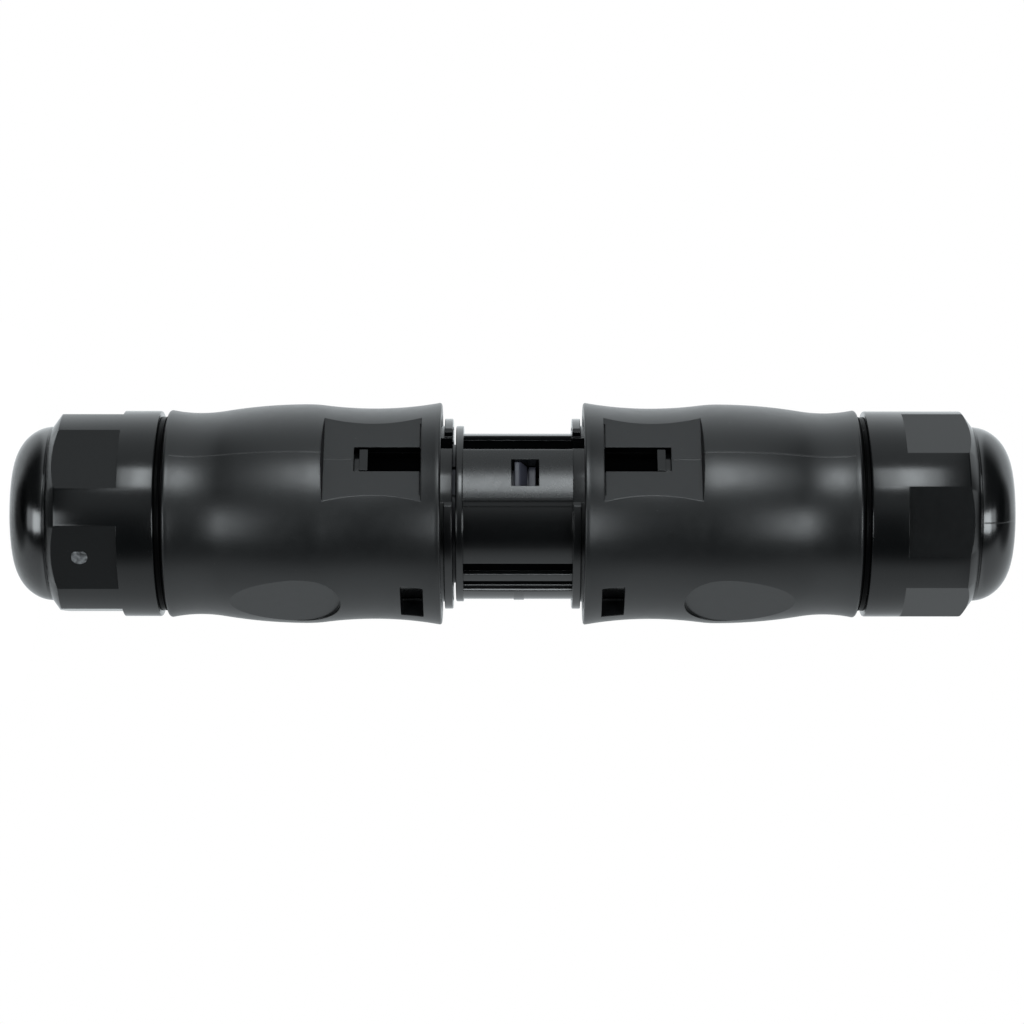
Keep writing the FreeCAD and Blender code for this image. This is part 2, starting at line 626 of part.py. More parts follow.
def make_cage(half):
    """The clamping cage, whose tapered fingers the slip ring closes on the cable seal."""
    body = new_body(half, f"{half}_clamp_cage")
    outline = [
        corner(CAGE_INNER, CAGE_FRONT),
        corner(CAGE_RADIUS, CAGE_FRONT),
        corner(CAGE_RADIUS, SPIGOT_END),
        corner(FINGER_TIP, CAGE_END),
        corner(CAGE_INNER, CAGE_END),
    ]
    revolve(body, f"{half}_cage_tube", outline)
    gap = rectangle(f"-{GLAND_BORE}", f"{CAGE_FRONT} + cage_ring", GLAND_BORE, RING_SEAT)
    slot = cut_through(body, f"{half}_finger_gap", "XZ_Plane", [gap], "finger_gap")
    doc.recompute()
    pattern = body.newObject("PartDesign::PolarPattern", f"{half}_fingers")
    pattern.Originals = [slot]
    pattern.Axis = (slot.Profile[0], ["V_Axis"])
    pattern.Angle = 360
    pattern.setExpression("Occurrences", bound("finger_pairs"))
    body.Tip = pattern


def make_slip_ring(half):
    """The ring between the nut and the fingers, bored to the fingers' taper."""
    body = new_body(half, f"{half}_slip_ring")
    front = f"({RING_SEAT} - ring_thickness)"
    slope = f"(({CAGE_RADIUS} - {FINGER_TIP}) / ({CAGE_END} - {SPIGOT_END}))"
    outline = [
        corner(f"{CAGE_RADIUS} - {slope} * ({front} - {SPIGOT_END}) + ring_clearance", front),
        corner(f"{NUT_BORE} - ring_clearance", front),
        corner(f"{NUT_BORE} - ring_clearance", RING_SEAT),
        corner(f"{FINGER_TIP} + ring_clearance", RING_SEAT),
    ]
    revolve(body, f"{half}_thrust_ring", outline)


def insert_tail():
    """An insert's section from the rim's back face round to its end, shared by both inserts."""
    return [
        corner(INSERT_RADIUS, RIM_BACK),
        corner(INSERT_RADIUS, GROOVE_FRONT),
        corner(GROOVE_FLOOR, GROOVE_FRONT),
        corner(GROOVE_FLOOR, GROOVE_BACK),
        corner(INSERT_RADIUS, GROOVE_BACK),
        corner(INSERT_RADIUS, INSERT_END),
        corner(INSERT_BORE, INSERT_END),
    ]


def rim_corners():
    return [
        corner(f"{RIM_RADIUS} - rim_edge", RIM_FRONT),
        corner(RIM_RADIUS, f"{RIM_FRONT} + rim_edge"),
        corner(RIM_RADIUS, RIM_BACK),
    ]


def finish_insert(body, half):
    """Breaks in the rim, with a pocket beside the panel, snap lugs on springy walls, and driver holes."""
    gap = "(rim_gap / 2 - rim_bevel)"
    breaks = both_sides(INSERT_RADIUS, MOUTH_RADIUS, f"(90 - {gap})", f"(90 + {gap})", "rim_bevel")
    cut_up(body, f"{half}_rim_breaks", breaks, RIM_FRONT, f"{RIM_BACK} - {RIM_FRONT}")
    first = f"(90 - {gap})" if half == "plug" else f"(180 - {PANEL_EDGE})"
    last = PANEL_EDGE if half == "plug" else f"(90 + {gap})"
    pockets = both_sides(f"({NOSE_RADIUS} - groove_depth)", MOUTH_RADIUS, first, last)
    cut_up(body, f"{half}_rim_pockets", pockets, RIM_FRONT, f"{RIM_BACK} - {RIM_FRONT}")
    high = f"{SLOT_END} - lug_play"
    low = f"{high} - lug_length"
    tongues = mirrored_pair(f"({INSERT_RADIUS} - tongue_drop)", "lip_station + pad_start", RIM_RADIUS, low)
    cut_through(body, f"{half}_tongues", "YZ_Plane", tongues, SLOT_WIDTH)
    lugs = mirrored_pair(WALL_MIDDLE, low, f"({INSERT_RADIUS} + lug_height)", high)
    pad_across(body, f"{half}_lugs", "YZ_Plane", lugs, "lug_width")
    cut_front(body, f"{half}_driver_holes", driver_circles(), BORE_RADIUS)


def make_socket_insert():
    body = new_body("socket", "socket_insert")
    revolve(body, "socket_insert_shell", [corner(INSERT_BORE, RIM_FRONT)] + rim_corners() + insert_tail())
    finish_insert(body, "socket")


def make_plug_insert():
    """The long hollow nose: a flange, raised panels with latch windows, and guide grooves up to the rim."""
    body = new_body("plug", "plug_insert")
    start = f"(nose_flange - {NOSE_FRONT})"
    outline = [
        corner(INSERT_BORE, f"-{NOSE_FRONT}"),
        corner(f"{INSERT_RADIUS} - rim_edge", f"-{NOSE_FRONT}"),
        corner(INSERT_RADIUS, f"rim_edge - {NOSE_FRONT}"),
        corner(INSERT_RADIUS, start),
        corner(NOSE_RADIUS, start),
        corner(NOSE_RADIUS, RIM_FRONT),
    ]
    revolve(body, "plug_insert_shell", outline + rim_corners() + insert_tail())
    panels = both_sides(WALL_MIDDLE, INSERT_RADIUS, PANEL_EDGE, f"({PANEL_EDGE} + panel_angle)")
    pad_up(body, "nose_panels", panels, start, f"{RIM_BACK} - {start}")
    cut_nose_grooves(body, start)
    windows = mirrored_pair(ARM_OUTER, "-window_back", RIM_RADIUS, f"({TOE_END} + window_room)")
    turn = latch_turn("plug", "YZ_Plane")
    cut_through(body, "latch_windows", "YZ_Plane", windows, "arm_width + 2 * window_play", turn=turn)
    middle = f"({PANEL_EDGE} - groove_angle - plate_angle / 2)"
    pips = both_sides(
        WALL_MIDDLE, f"({NOSE_RADIUS} + pip_height)", f"({middle} - pip_span / 2)", f"({middle} + pip_span / 2)"
    )
    pad_up(body, "nose_pips", pips, "pip_start", "pip_width")
    finish_insert(body, "plug")


def cut_nose_grooves(body, start):
    """Round from the panel: deep groove, plate, step, gully, rib, key groove, and recess up to the frame."""
    groove = f"({PANEL_EDGE} - groove_angle)"
    plate = f"({groove} - plate_angle)"
    step = f"({plate} - step_angle)"
    gully = f"({step} - gully_angle)"
    rib = f"({gully} - rib_angle)"
    key = f"({rib} - key_angle)"
    frame = f"({PANEL_EDGE} + panel_angle + frame_angle - 180)"
    stretches = [
        ("grooves", "groove_depth", groove, PANEL_EDGE),
        ("steps", "step_depth", step, plate),
        ("gullies", "recess_depth", gully, step),
        ("ribs", "rib_depth", rib, gully),
        ("keys", "key_depth", key, rib),
        ("recesses", "recess_depth", frame, key),
    ]
    for name, depth, first, last in stretches:
        outlines = both_sides(f"({NOSE_RADIUS} - {depth})", RIM_RADIUS, first, last)
        cut_up(body, f"nose_{name}", outlines, start, f"{RIM_FRONT} - {start}")


def make_cord_seal(half):
    """The round seal in the insert's groove."""
    body = new_body(half, f"{half}_insert_seal")
    middle = f"({BORE_RADIUS} + {GROOVE_FLOOR}) / 2"
    revolve(body, f"{half}_cord_ring", circle=(middle, f"({GROOVE_FRONT} + {GROOVE_BACK}) / 2", CORD_RADIUS))


def make_socket_core():
    """The contact carrier whose front reaches into the nose, with a channel for each latch arm."""
    body = new_body("socket", "socket_core")
    step = f"({RIM_FRONT} + rim_edge)"
    pad_up(body, "core_front", (), "-core_reach", f"core_reach + {step}", [("0", "0", CORE_RADIUS)])
    pad_up(body, "core_back", (), step, f"{CARRIER_END} - {step}", [("0", "0", CARRIER_RADIUS)])
    across = "(arm_width / 2 + channel_play)"
    channels = [
        rectangle(f"-{across}", CHANNEL_FLOOR, across, INSERT_RADIUS),
        rectangle(f"-{across}", f"-{INSERT_RADIUS}", across, f"-{CHANNEL_FLOOR}"),
    ]
    turn = latch_turn("socket", "XY_Plane")
    cut_up(body, "arm_channels", channels, "-core_reach", "core_reach + arm_root + channel_end", turn=turn)
    round_hole = "trunnion_radius + trunnion_play"
    holes = [(ARM_PIVOT, "arm_root", round_hole), (f"-{ARM_PIVOT}", "arm_root", round_hole)]
    width = "arm_width + 2 * trunnion_reach + 2 * channel_play"
    cut_through(body, "trunnion_holes", "YZ_Plane", (), width, holes, latch_turn("socket", "YZ_Plane"))
    entry = contact_circles("pin_radius + 2 * pin_play")
    cut_up(body, "pin_entries", (), "-core_reach", "tube_depth", entry)
    tube = contact_circles("pin_radius + pin_play + tube_wall + terminal_play")
    cut_up(body, "tube_bores", (), "tube_depth - core_reach", "terminal_start + core_reach - tube_depth", tube)
    barrel = contact_circles("terminal_radius + terminal_play")
    cut_up(body, "terminal_bores", (), "terminal_start", f"{CARRIER_END} - terminal_start", barrel)
    cut_front(body, "core_driver_holes", driver_circles(), BORE_RADIUS)


def make_plug_carrier():
    body = new_body("plug", "plug_carrier")
    length = f"{CARRIER_END} - {CARRIER_FACE}"
    pad_up(body, "carrier_block", (), CARRIER_FACE, length, [("0", "0", CARRIER_RADIUS)])
    pins = contact_circles("pin_radius + terminal_play")
    cut_up(body, "pin_holes", (), CARRIER_FACE, f"terminal_start - {CARRIER_FACE}", pins)
    barrel = contact_circles("terminal_radius + terminal_play")
    cut_up(body, "barrel_holes", (), "terminal_start", f"{CARRIER_END} - terminal_start", barrel)
    cut_front(body, "carrier_driver_holes", driver_circles(), BORE_RADIUS)


def make_latch_arm(side):
    """A sprung arm with a hook that stands in the nose's window, and a toe that a tool presses."""
    body = new_body("socket", f"latch_arm_{side}")
    outward = -1 if side == "front" else 1

    def across(words):
        return f"{outward} * {words}"

    root = "arm_root + arm_root_length"
    reach = f"({INSERT_RADIUS} - hook_inset)"
    notch = f"-{HOOK_END} - toe_gap"
    outline = [
        corner(across(ARM_INNER), root),
        corner(across(ARM_OUTER), root),
        corner(across(ARM_OUTER), "-hook_start"),
        corner(across(reach), "-hook_start"),
        corner(across(reach), "-hook_start - hook_top"),
        corner(across(TOE_TOP), f"-{HOOK_END}"),
        corner(across(ARM_OUTER), f"-{HOOK_END}"),
        corner(across(ARM_OUTER), notch),
        corner(across(TOE_TOP), notch),
        corner(across(TOE_TOP), f"-{TOE_END}"),
        corner(across(ARM_INNER), f"-{TOE_END}"),
    ]
    turn = latch_turn("socket", "YZ_Plane")
    pad_across(body, f"arm_{side}", "YZ_Plane", [outline], "arm_width", turn=turn)
    trunnion = [(across(ARM_PIVOT), "arm_root", "trunnion_radius")]
    pad_across(body, f"trunnion_{side}", "YZ_Plane", (), "arm_width + 2 * trunnion_reach", trunnion, turn)


def make_wire_plate(half):
    body = new_body(half, f"{half}_wire_plate")
    pad_up(body, f"{half}_plate", (), CARRIER_END, "plate_thickness", [("0", "0", CARRIER_RADIUS)])
    cut_up(body, f"{half}_wire_holes", (), CARRIER_END, "plate_thickness", contact_circles("wire_radius"))


def make_face_seal():
    body = new_body("plug", "face_seal")
    outline = rectangle(f"{CARRIER_RADIUS} - face_seal_width", SEAL_FACE, CARRIER_RADIUS, CARRIER_FACE)
    revolve(body, "flat_seal", outline)


def make_contact(half, name, x, y):
    """A pin or a socket tube, in one piece with its terminal barrel and wire hole."""
    body = new_body(half, f"{half}_contact_{name}", x, y)
    inside = "(pin_radius + pin_play)"
    tube_front = "(tube_depth - core_reach)"
    pin = [
        corner("0", "-pin_reach"),
        corner("pin_radius - pin_nose", "-pin_reach"),
        corner("pin_radius", "pin_nose - pin_reach"),
        corner("pin_radius", "terminal_start"),
    ]
    tube = [
        corner("0", TUBE_BOTTOM),
        corner(inside, TUBE_BOTTOM),
        corner(inside, tube_front),
        corner(f"{inside} + tube_wall", tube_front),
        corner(f"{inside} + tube_wall", "terminal_start"),
    ]
    barrel = [
        corner("terminal_radius", "terminal_start"),
        corner("terminal_radius", TERMINAL_END),
        corner("wire_radius", TERMINAL_END),
        corner("wire_radius", f"{TERMINAL_END} - wire_depth"),
        corner("0", f"{TERMINAL_END} - wire_depth"),
    ]
    revolve(body, f"{half}_{name}_turned", (pin if half == "plug" else tube) + barrel)
    hole = [("0", SCREW_STATION, "screw_radius + terminal_play")]
    cut_front(body, f"{half}_{name}_screw_hole", hole, "terminal_radius + terminal_play")


def make_terminal_screw(half, name, x, y):
    """A grub screw, backed out just clear of the wire hole."""
    body = new_body(half, f"{half}_terminal_screw_{name}", x, f"{y} - wire_radius - screw_lift")
    body.Placement.Rotation = FreeCAD.Rotation(FreeCAD.Vector(1, 0, 0), 90)
    way = "-" if half == "socket" else "+"
    body.setExpression("Placement.Base.z", bound(f"{MID_HEIGHT} {way} {SCREW_STATION}"))
    pad_up(body, f"{half}_{name}_screw", (), "0", "screw_length", [("0", "0", "screw_radius")])
    slot = [rectangle("-screw_slot / 2", f"-{DRIVER_RADIUS}", "screw_slot / 2", DRIVER_RADIUS)]
    cut_up(body, f"{half}_{name}_slot", slot, "screw_length - screw_slot_depth", "screw_slot_depth")


pieces = []
for half in ("socket", "plug"):
    make_sleeve(half)
    make_nut(half)
    make_ring_seal(half)
    make_grommet(half)
    make_cage(half)
    make_slip_ring(half)
    make_cord_seal(half)
    make_wire_plate(half)
    for name, x, y in contact_places():
        make_contact(half, name, x, y)
        make_terminal_screw(half, name, x, y)
make_socket_insert()
make_socket_core()
make_plug_insert()
make_plug_carrier()
make_face_seal()
for side in ("front", "rear"):
    make_latch_arm(side)

doc.recompute()
for thing in doc.Objects:
    if any(state in ("Invalid", "Error") for state in thing.State):
        raise RuntimeError(f"{thing.Label} did not recompute: {thing.State}")
os.makedirs("parts", exist_ok=True)
for body in pieces:
    shape = body.Shape
    if shape.isNull() or not shape.isValid():
        raise RuntimeError(f"{body.Label} has no valid shape")
    shape.exportStep(f"parts/{body.Label}.step")
    print(f"{body.Label}: {shape.Volume:.1f} mm3, {len(shape.Solids)} solid(s)")
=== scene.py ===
# Round cable coupler: two sleeves with domed gland nuts, joined by a nose with latch windows.
import json
import math

import bmesh
import bpy
from mathutils import Matrix, Vector


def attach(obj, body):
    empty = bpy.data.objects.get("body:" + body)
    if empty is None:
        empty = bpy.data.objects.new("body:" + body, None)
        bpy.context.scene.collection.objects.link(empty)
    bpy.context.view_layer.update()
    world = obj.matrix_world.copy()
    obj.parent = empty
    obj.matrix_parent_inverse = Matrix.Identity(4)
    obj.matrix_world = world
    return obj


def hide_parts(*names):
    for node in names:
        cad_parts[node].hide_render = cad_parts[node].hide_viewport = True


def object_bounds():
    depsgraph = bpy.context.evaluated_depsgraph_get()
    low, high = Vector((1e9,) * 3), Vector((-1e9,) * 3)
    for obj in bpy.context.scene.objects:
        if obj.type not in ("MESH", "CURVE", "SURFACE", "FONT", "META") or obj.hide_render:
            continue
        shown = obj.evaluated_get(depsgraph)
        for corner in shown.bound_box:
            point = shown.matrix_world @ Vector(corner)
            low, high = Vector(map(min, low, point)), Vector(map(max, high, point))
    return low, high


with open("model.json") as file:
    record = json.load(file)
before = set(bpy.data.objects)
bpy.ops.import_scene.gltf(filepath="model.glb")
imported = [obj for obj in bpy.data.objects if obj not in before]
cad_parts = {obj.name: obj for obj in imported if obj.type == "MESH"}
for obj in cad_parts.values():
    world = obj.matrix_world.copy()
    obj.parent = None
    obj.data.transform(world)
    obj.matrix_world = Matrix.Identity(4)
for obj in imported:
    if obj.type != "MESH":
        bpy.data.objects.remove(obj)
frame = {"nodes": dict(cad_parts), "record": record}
cadLow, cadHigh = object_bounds()
bpy.context.scene.view_settings.view_transform = "Standard"
halves = ("socket", "plug")
mm = 0.001
midHeight = (cadLow.z + cadHigh.z) / 2
lipRadius = cadHigh.x / mm  # the widest place
latchTurn = 5.6  # degrees that panel, window and latch stand round from the flat pads
weld = 0.0005  # mm below which points are one after a cut
spare = 1  # mm by which a cutter reaches past what it cuts


def arcPoints(start, end, radius, side, step):
    # points from start up to, but without, end, on an arc whose centre lies to the left (1) or right (-1)
    start, end = Vector(start), Vector(end)
    chord = end - start
    rise = math.sqrt(max(radius**2 - (chord.length / 2) ** 2, 0))
    centre = (start + end) / 2 + Vector((-chord.y, chord.x)).normalized() * rise * side
    first = math.atan2(start.y - centre.y, start.x - centre.x)
    sweep = 2 * math.asin(min(chord.length / 2 / radius, 1)) * side
    count = max(2, math.ceil(abs(sweep) * radius / step), math.ceil(abs(sweep) / math.radians(15)))
    angles = [first + sweep * index / count for index in range(count)]
    return [(centre.x + radius * math.cos(a), centre.y + radius * math.sin(a)) for a in angles]


def traced(outline, step=0.5):
    # corners are (x, y), or (x, y, radius, side) where an arc leads on to the next corner
    points = []
    for index, corner in enumerate(outline):
        following = outline[(index + 1) % len(outline)][:2]
        if len(corner) == 2:
            points.append(corner)
        else:
            points += arcPoints(corner[:2], following, corner[2], corner[3], step)
    return points


def rounded(corners, size, steps=3):
    # every corner of a straight-edged outline given a small radius; a corner may bring its own size
    points = []
    for index, corner in enumerate(corners):
        here = Vector(corner[:2])
        before = Vector(corners[index - 1][:2]) - here
        after = Vector(corners[(index + 1) % len(corners)][:2]) - here
        wanted = corner[2] if len(corner) > 2 else size
        reach = min(wanted, before.length * 0.45, after.length * 0.45)
        if reach < 1e-4:  # a sharp corner
            points.append(tuple(here))
            continue
        first, last = here + before.normalized() * reach, here + after.normalized() * reach
        for step in range(steps + 1):
            t = step / steps
            points.append(tuple(first * (1 - t) ** 2 + here * 2 * t * (1 - t) + last * t**2))
    return points


def turned(profile, segments=192):
    # closed outline of (radius, height), turned round the axis
    mesh = bmesh.new()
    rings = []
    for index in range(segments):
        angle = 2 * math.pi * index / segments
        rings.append([mesh.verts.new((r * math.cos(angle), r * math.sin(angle), z)) for r, z in profile])
    for index, ring in enumerate(rings):
        following = rings[(index + 1) % segments]
        for spot in range(len(profile)):
            after = (spot + 1) % len(profile)
            mesh.faces.new((ring[spot], following[spot], following[after], ring[after]))
    return finished(mesh)


def rod(radius, low, high, segments, hub=0.001):
    # full cylinder on the axis, but for a hair at its middle
    return turned([(hub, low), (radius, low), (radius, high), (hub, high)], segments)


def rectangle(width, low, high):
    # corners of an upright rectangle, centred across
    return [(-width / 2, low), (width / 2, low), (width / 2, high), (-width / 2, high)]


def prism(outline, low, high, axis="Z"):
    # flat outline pushed along an axis; in an X prism the outline is (y, z), in a Y prism (x, z)
    order = {
        "X": lambda a, b, c: (c, a, b),
        "Y": lambda a, b, c: (a, c, b),
        "Z": lambda a, b, c: (a, b, c),
    }[axis]
    mesh = bmesh.new()
    bottom = [mesh.verts.new(order(a, b, low)) for a, b in outline]
    top = [mesh.verts.new(order(a, b, high)) for a, b in outline]
    mesh.faces.new(bottom)
    mesh.faces.new(top)
    for index in range(len(outline)):
        after = (index + 1) % len(outline)
        mesh.faces.new((bottom[index], bottom[after], top[after], top[index]))
    return finished(mesh)


def box(lowX, highX, lowY, highY, lowZ, highZ):
    return prism([(lowX, lowY), (highX, lowY), (highX, highY), (lowX, highY)], lowZ, highZ)


def finished(mesh):
    bmesh.ops.recalc_face_normals(mesh, faces=mesh.faces)
    data = bpy.data.meshes.new("shape")
    mesh.to_mesh(data)
    mesh.free()
    data.materials.append(None)
    obj = bpy.data.objects.new("shape", data)
    bpy.context.scene.collection.objects.link(obj)
    return obj


def combine(obj, other, operation):
    # exact boolean; what the other shape leaves behind gets the second material slot, to mark the new edges
    if len(other.data.materials) < 2:
        other.data.materials.append(None)
    if len(obj.data.materials) < 2:
        obj.data.materials.append(None)
    for face in other.data.polygons:
        face.material_index = 1
    for face in obj.data.polygons:
        face.material_index = 0
    step = obj.modifiers.new("combine", "BOOLEAN")
    step.operation = operation
    step.solver = "EXACT"
    step.object = other
    graph = bpy.context.evaluated_depsgraph_get()
    result = bpy.data.meshes.new_from_object(obj.evaluated_get(graph))
    obj.modifiers.clear()
    mesh = bmesh.new()
    mesh.from_mesh(result)
    bmesh.ops.remove_doubles(mesh, verts=mesh.verts, dist=weld)
    bmesh.ops.dissolve_degenerate(mesh, edges=mesh.edges, dist=weld)
    crease = mesh.edges.layers.float.get("crease_line") or mesh.edges.layers.float.new("crease_line")
    for edge in mesh.edges:
        if len(edge.link_faces) == 2 and edge.link_faces[0].material_index != edge.link_faces[1].material_index:
            edge[crease] = 1
    mesh.to_mesh(result)
    mesh.free()
    obj.data = result
    bpy.data.objects.remove(other)
    return obj


def cut(obj, other):
    return combine(obj, other, "DIFFERENCE")


def add(obj, other):
    return combine(obj, other, "UNION")


def joined(objects):
    # one object from shapes that only touch or overlap
    whole = bmesh.new()
    for obj in objects:
        whole.from_mesh(obj.data)
        bpy.data.objects.remove(obj)
    data = bpy.data.meshes.new("shape")
    whole.to_mesh(data)
    whole.free()
    obj = bpy.data.objects.new("shape", data)
    bpy.context.scene.collection.objects.link(obj)
    return obj


def smoothed(obj, angle, flatBelow=0.5):
    # smooth shading, broken where two surfaces meet at more than the angle and along every cut that isn't flat
    mesh = bmesh.new()
    mesh.from_mesh(obj.data)
    crease = mesh.edges.layers.float.get("crease_line")
    for face in mesh.faces:
        face.smooth = True
        face.material_index = 0
    for edge in mesh.edges:
        marked = crease is not None and edge[crease] > 0.5
        steep = len(edge.link_faces) == 2 and edge.calc_face_angle(0) > math.radians(angle)
        flat = len(edge.link_faces) == 2 and edge.calc_face_angle(0) < math.radians(flatBelow)
        edge.smooth = not (steep or (marked and not flat))
    mesh.to_mesh(obj.data)
    mesh.free()
    return obj


def place(obj, name, half, material, angle=25, extra=(), pick=None):
    # from a half's own millimetres (coupling plane at 0, cable end up) to the shared frame;
    # pick says by a face's middle and normal whether it gets the material (0) or one of the extra ones
    smoothed(obj, angle)
    picks = [pick(face.center, face.normal) if pick else 0 for face in obj.data.polygons]
    turn = Matrix.Rotation(math.pi, 4, "Y") if half == "socket" else Matrix.Identity(4)
    obj.data.transform(Matrix.Translation((0, 0, midHeight)) @ turn @ Matrix.Scale(mm, 4))
    obj.name = name
    obj.data.name = name
    obj.data.materials.clear()
    for each in (material, *extra):
        obj.data.materials.append(each)
    obj.data.polygons.foreach_set("material_index", picks)
    return obj


def helixRidge(root, crest, low, high, pitch, width, segments=64, fadeSteps=12, leastFade=0.05):
    # one thread: a ridge wound round the axis, tapering out at both ends
    mesh = bmesh.new()
    count = int((high - low) / pitch * segments)
    previous = None
    for index in range(count + 1):
        angle = 2 * math.pi * index / segments
        z = low + pitch * index / segments
        fade = min(1, min(index, count - index) / fadeSteps + leastFade)
        peak = root + (crest - root) * fade
        across = Vector((math.cos(angle), math.sin(angle), 0))
        rim = [
            across * root + Vector((0, 0, z - width / 2)),
            across * peak + Vector((0, 0, z - width / 8)),
            across * peak + Vector((0, 0, z + width / 8)),
            across * root + Vector((0, 0, z + width / 2)),
        ]
        ring = [mesh.verts.new(point) for point in rim]
        if previous:
            for spot in range(4):
                after = (spot + 1) % 4
                mesh.faces.new((previous[spot], ring[spot], ring[after], previous[after]))
        else:
            mesh.faces.new(ring)
        previous = ring
    mesh.faces.new(previous)
    return finished(mesh)


def newMaterial(name):
    material = bpy.data.materials.new(name)
    material.use_nodes = True
    tree = material.node_tree
    shader = tree.nodes["Principled BSDF"]
    coords = tree.nodes.new("ShaderNodeTexCoord")
    return material, tree, shader, coords


def addNode(tree, kind, inputs, **settings):
    # a node with its settings; each input is set to a value or fed by another node's output
    node = tree.nodes.new(kind)
    for name, value in settings.items():
        setattr(node, name, value)
    for key, value in inputs.items():
        if isinstance(value, bpy.types.NodeSocket):
            tree.links.new(value, node.inputs[key])
        else:
            node.inputs[key].default_value = value
    return node


def noiseOf(tree, coords, scale, detail=3, rough=0.55):
    inputs = {"Scale": scale, "Detail": detail, "Roughness": rough, "Vector": coords.outputs["Object"]}
    return addNode(tree, "ShaderNodeTexNoise", inputs).outputs["Fac"]


def ranged(tree, source, low, high, fromLow=0.35, fromHigh=0.65, **settings):
    # the source's range from fromLow to fromHigh stretched to low to high
    inputs = {"From Min": fromLow, "From Max": fromHigh, "To Min": low, "To Max": high, "Value": source}
    return addNode(tree, "ShaderNodeMapRange", inputs, **settings).outputs["Result"]


def mixed(tree, share, first, second):
    # a colour between two others
    inputs = {"Factor": share, "A": first, "B": second}
    return addNode(tree, "ShaderNodeMix", inputs, data_type="RGBA").outputs["Result"]


def mouldedPlastic(name, look, speckEdge=0.04):
    # two drifting tones, specks of dust, uneven gloss, fine moulded grain and softly rounded edges
    material, tree, shader, coords = newMaterial(name)
    drift = ranged(tree, noiseOf(tree, coords, look["driftScale"]), 0, 1)
    tone = mixed(tree, drift, (*look["darkTone"], 1), (*look["lightTone"], 1))
    dustEnds = look["dustFrom"], look["dustFrom"] + speckEdge
    dust = ranged(tree, noiseOf(tree, coords, look["dustScale"], 2), 0, look["dust"], *dustEnds)
    tree.links.new(mixed(tree, dust, tone, (*look["dustTone"], 1)), shader.inputs["Base Color"])
    gloss = noiseOf(tree, coords, look["glossScale"], 4)
    tree.links.new(ranged(tree, gloss, *look["roughness"]), shader.inputs["Roughness"])
    edges = addNode(tree, "ShaderNodeBevel", {"Radius": look["edge"] * mm}, samples=4)
    bump = addNode(tree, "ShaderNodeBump", {
        "Strength": look["grainStrength"], "Distance": look["grainDepth"] * mm,
        "Height": noiseOf(tree, coords, look["grainScale"], 2), "Normal": edges.outputs["Normal"],
    })
    tree.links.new(bump.outputs["Normal"], shader.inputs["Normal"])
    shader.inputs["IOR"].default_value = look.get("ior", 1.5)
    shader.inputs["Specular IOR Level"].default_value = look.get("specular", 0.5)
    return material


def metal(name, look):
    # turned metal: fine rings along the axis and a little tarnish
    material, tree, shader, coords = newMaterial(name)
    tarnish = noiseOf(tree, coords, look["tarnishScale"])
    tone = mixed(tree, ranged(tree, tarnish, 0, 1), (*look["darkTone"], 1), (*look["lightTone"], 1))
    tree.links.new(tone, shader.inputs["Base Color"])
    tree.links.new(ranged(tree, tarnish, *look["roughness"]), shader.inputs["Roughness"])
    ringInputs = {"Scale": look["ringScale"], "Distortion": look["ringWobble"], "Vector": coords.outputs["Object"]}
    rings = addNode(tree, "ShaderNodeTexWave", ringInputs, bands_direction="Z")
    bump = addNode(tree, "ShaderNodeBump", {
        "Strength": look["ringStrength"], "Distance": look["ringDepth"] * mm, "Height": rings.outputs["Fac"],
    })
    tree.links.new(bump.outputs["Normal"], shader.inputs["Normal"])
    shader.inputs["Metallic"].default_value = 1
    return material


grainedBlackLook = {  # edge and grainDepth in mm
    "darkTone": (0.0036, 0.004, 0.0043), "lightTone": (0.0048, 0.0053, 0.0057), "driftScale": 60,
    "dustTone": (0.09, 0.09, 0.085), "dust": 0.3, "dustScale": 2600, "dustFrom": 0.74,
    "roughness": (0.31, 0.34), "glossScale": 500, "grainScale": 5200, "grainStrength": 0.32, "grainDepth": 0.02,
    "edge": 0.22, "specular": 0.5,
}
padBlackLook = grainedBlackLook | {"roughness": (0.42, 0.46), "grainStrength": 0.2}
panelBlackLook = grainedBlackLook | {"roughness": (0.26, 0.29), "edge": 0.1}
smoothBlackLook = {
    "darkTone": (0.002, 0.0022, 0.0024), "lightTone": (0.0026, 0.0029, 0.0031), "driftScale": 70,
    "dustTone": (0.08, 0.08, 0.078), "dust": 0.3, "dustScale": 2400, "dustFrom": 0.76,
    "roughness": (0.17, 0.19), "glossScale": 900, "grainScale": 4600, "grainStrength": 0.16, "grainDepth": 0.015,
    "edge": 0.12, "specular": 0.5,
}
nutBlackLook = smoothBlackLook | {
    "darkTone": (0.0025, 0.0028, 0.003), "lightTone": (0.0032, 0.0036, 0.0038), "specular": 0.36,
}
domeBlackLook = smoothBlackLook | {"specular": 0.95}
# painted shade: a near-black, barely reflecting finish for faces deep in grooves, slots and the bore, where shade
# falls
paintedShadeLook = {
    "darkTone": (0.0008, 0.0008, 0.0009), "lightTone": (0.0014, 0.0015, 0.0016), "driftScale": 90,
    "dustTone": (0.02, 0.02, 0.02), "dust": 0.1, "dustScale": 2400, "dustFrom": 0.78,
    "roughness": (0.5, 0.56), "glossScale": 400, "grainScale": 3000, "grainStrength": 0.2, "grainDepth": 0.015,
    "edge": 0.08, "specular": 0.08, "ior": 1.02,
}
violetGreyLook = {
    "darkTone": (0.03, 0.031, 0.042), "lightTone": (0.04, 0.041, 0.055), "driftScale": 90,
    "dustTone": (0.16, 0.16, 0.17), "dust": 0.2, "dustScale": 2400, "dustFrom": 0.76,
    "roughness": (0.36, 0.44), "glossScale": 260, "grainScale": 4200, "grainStrength": 0.1, "grainDepth": 0.012,
    "edge": 0.1,
}
# painted shade: the core's violet grey darkened almost to black, as it is only seen down narrow gaps where shade
# falls
paintedShadeCoreLook = violetGreyLook | {"darkTone": (0.007, 0.007, 0.01), "lightTone": (0.01, 0.01, 0.014)}
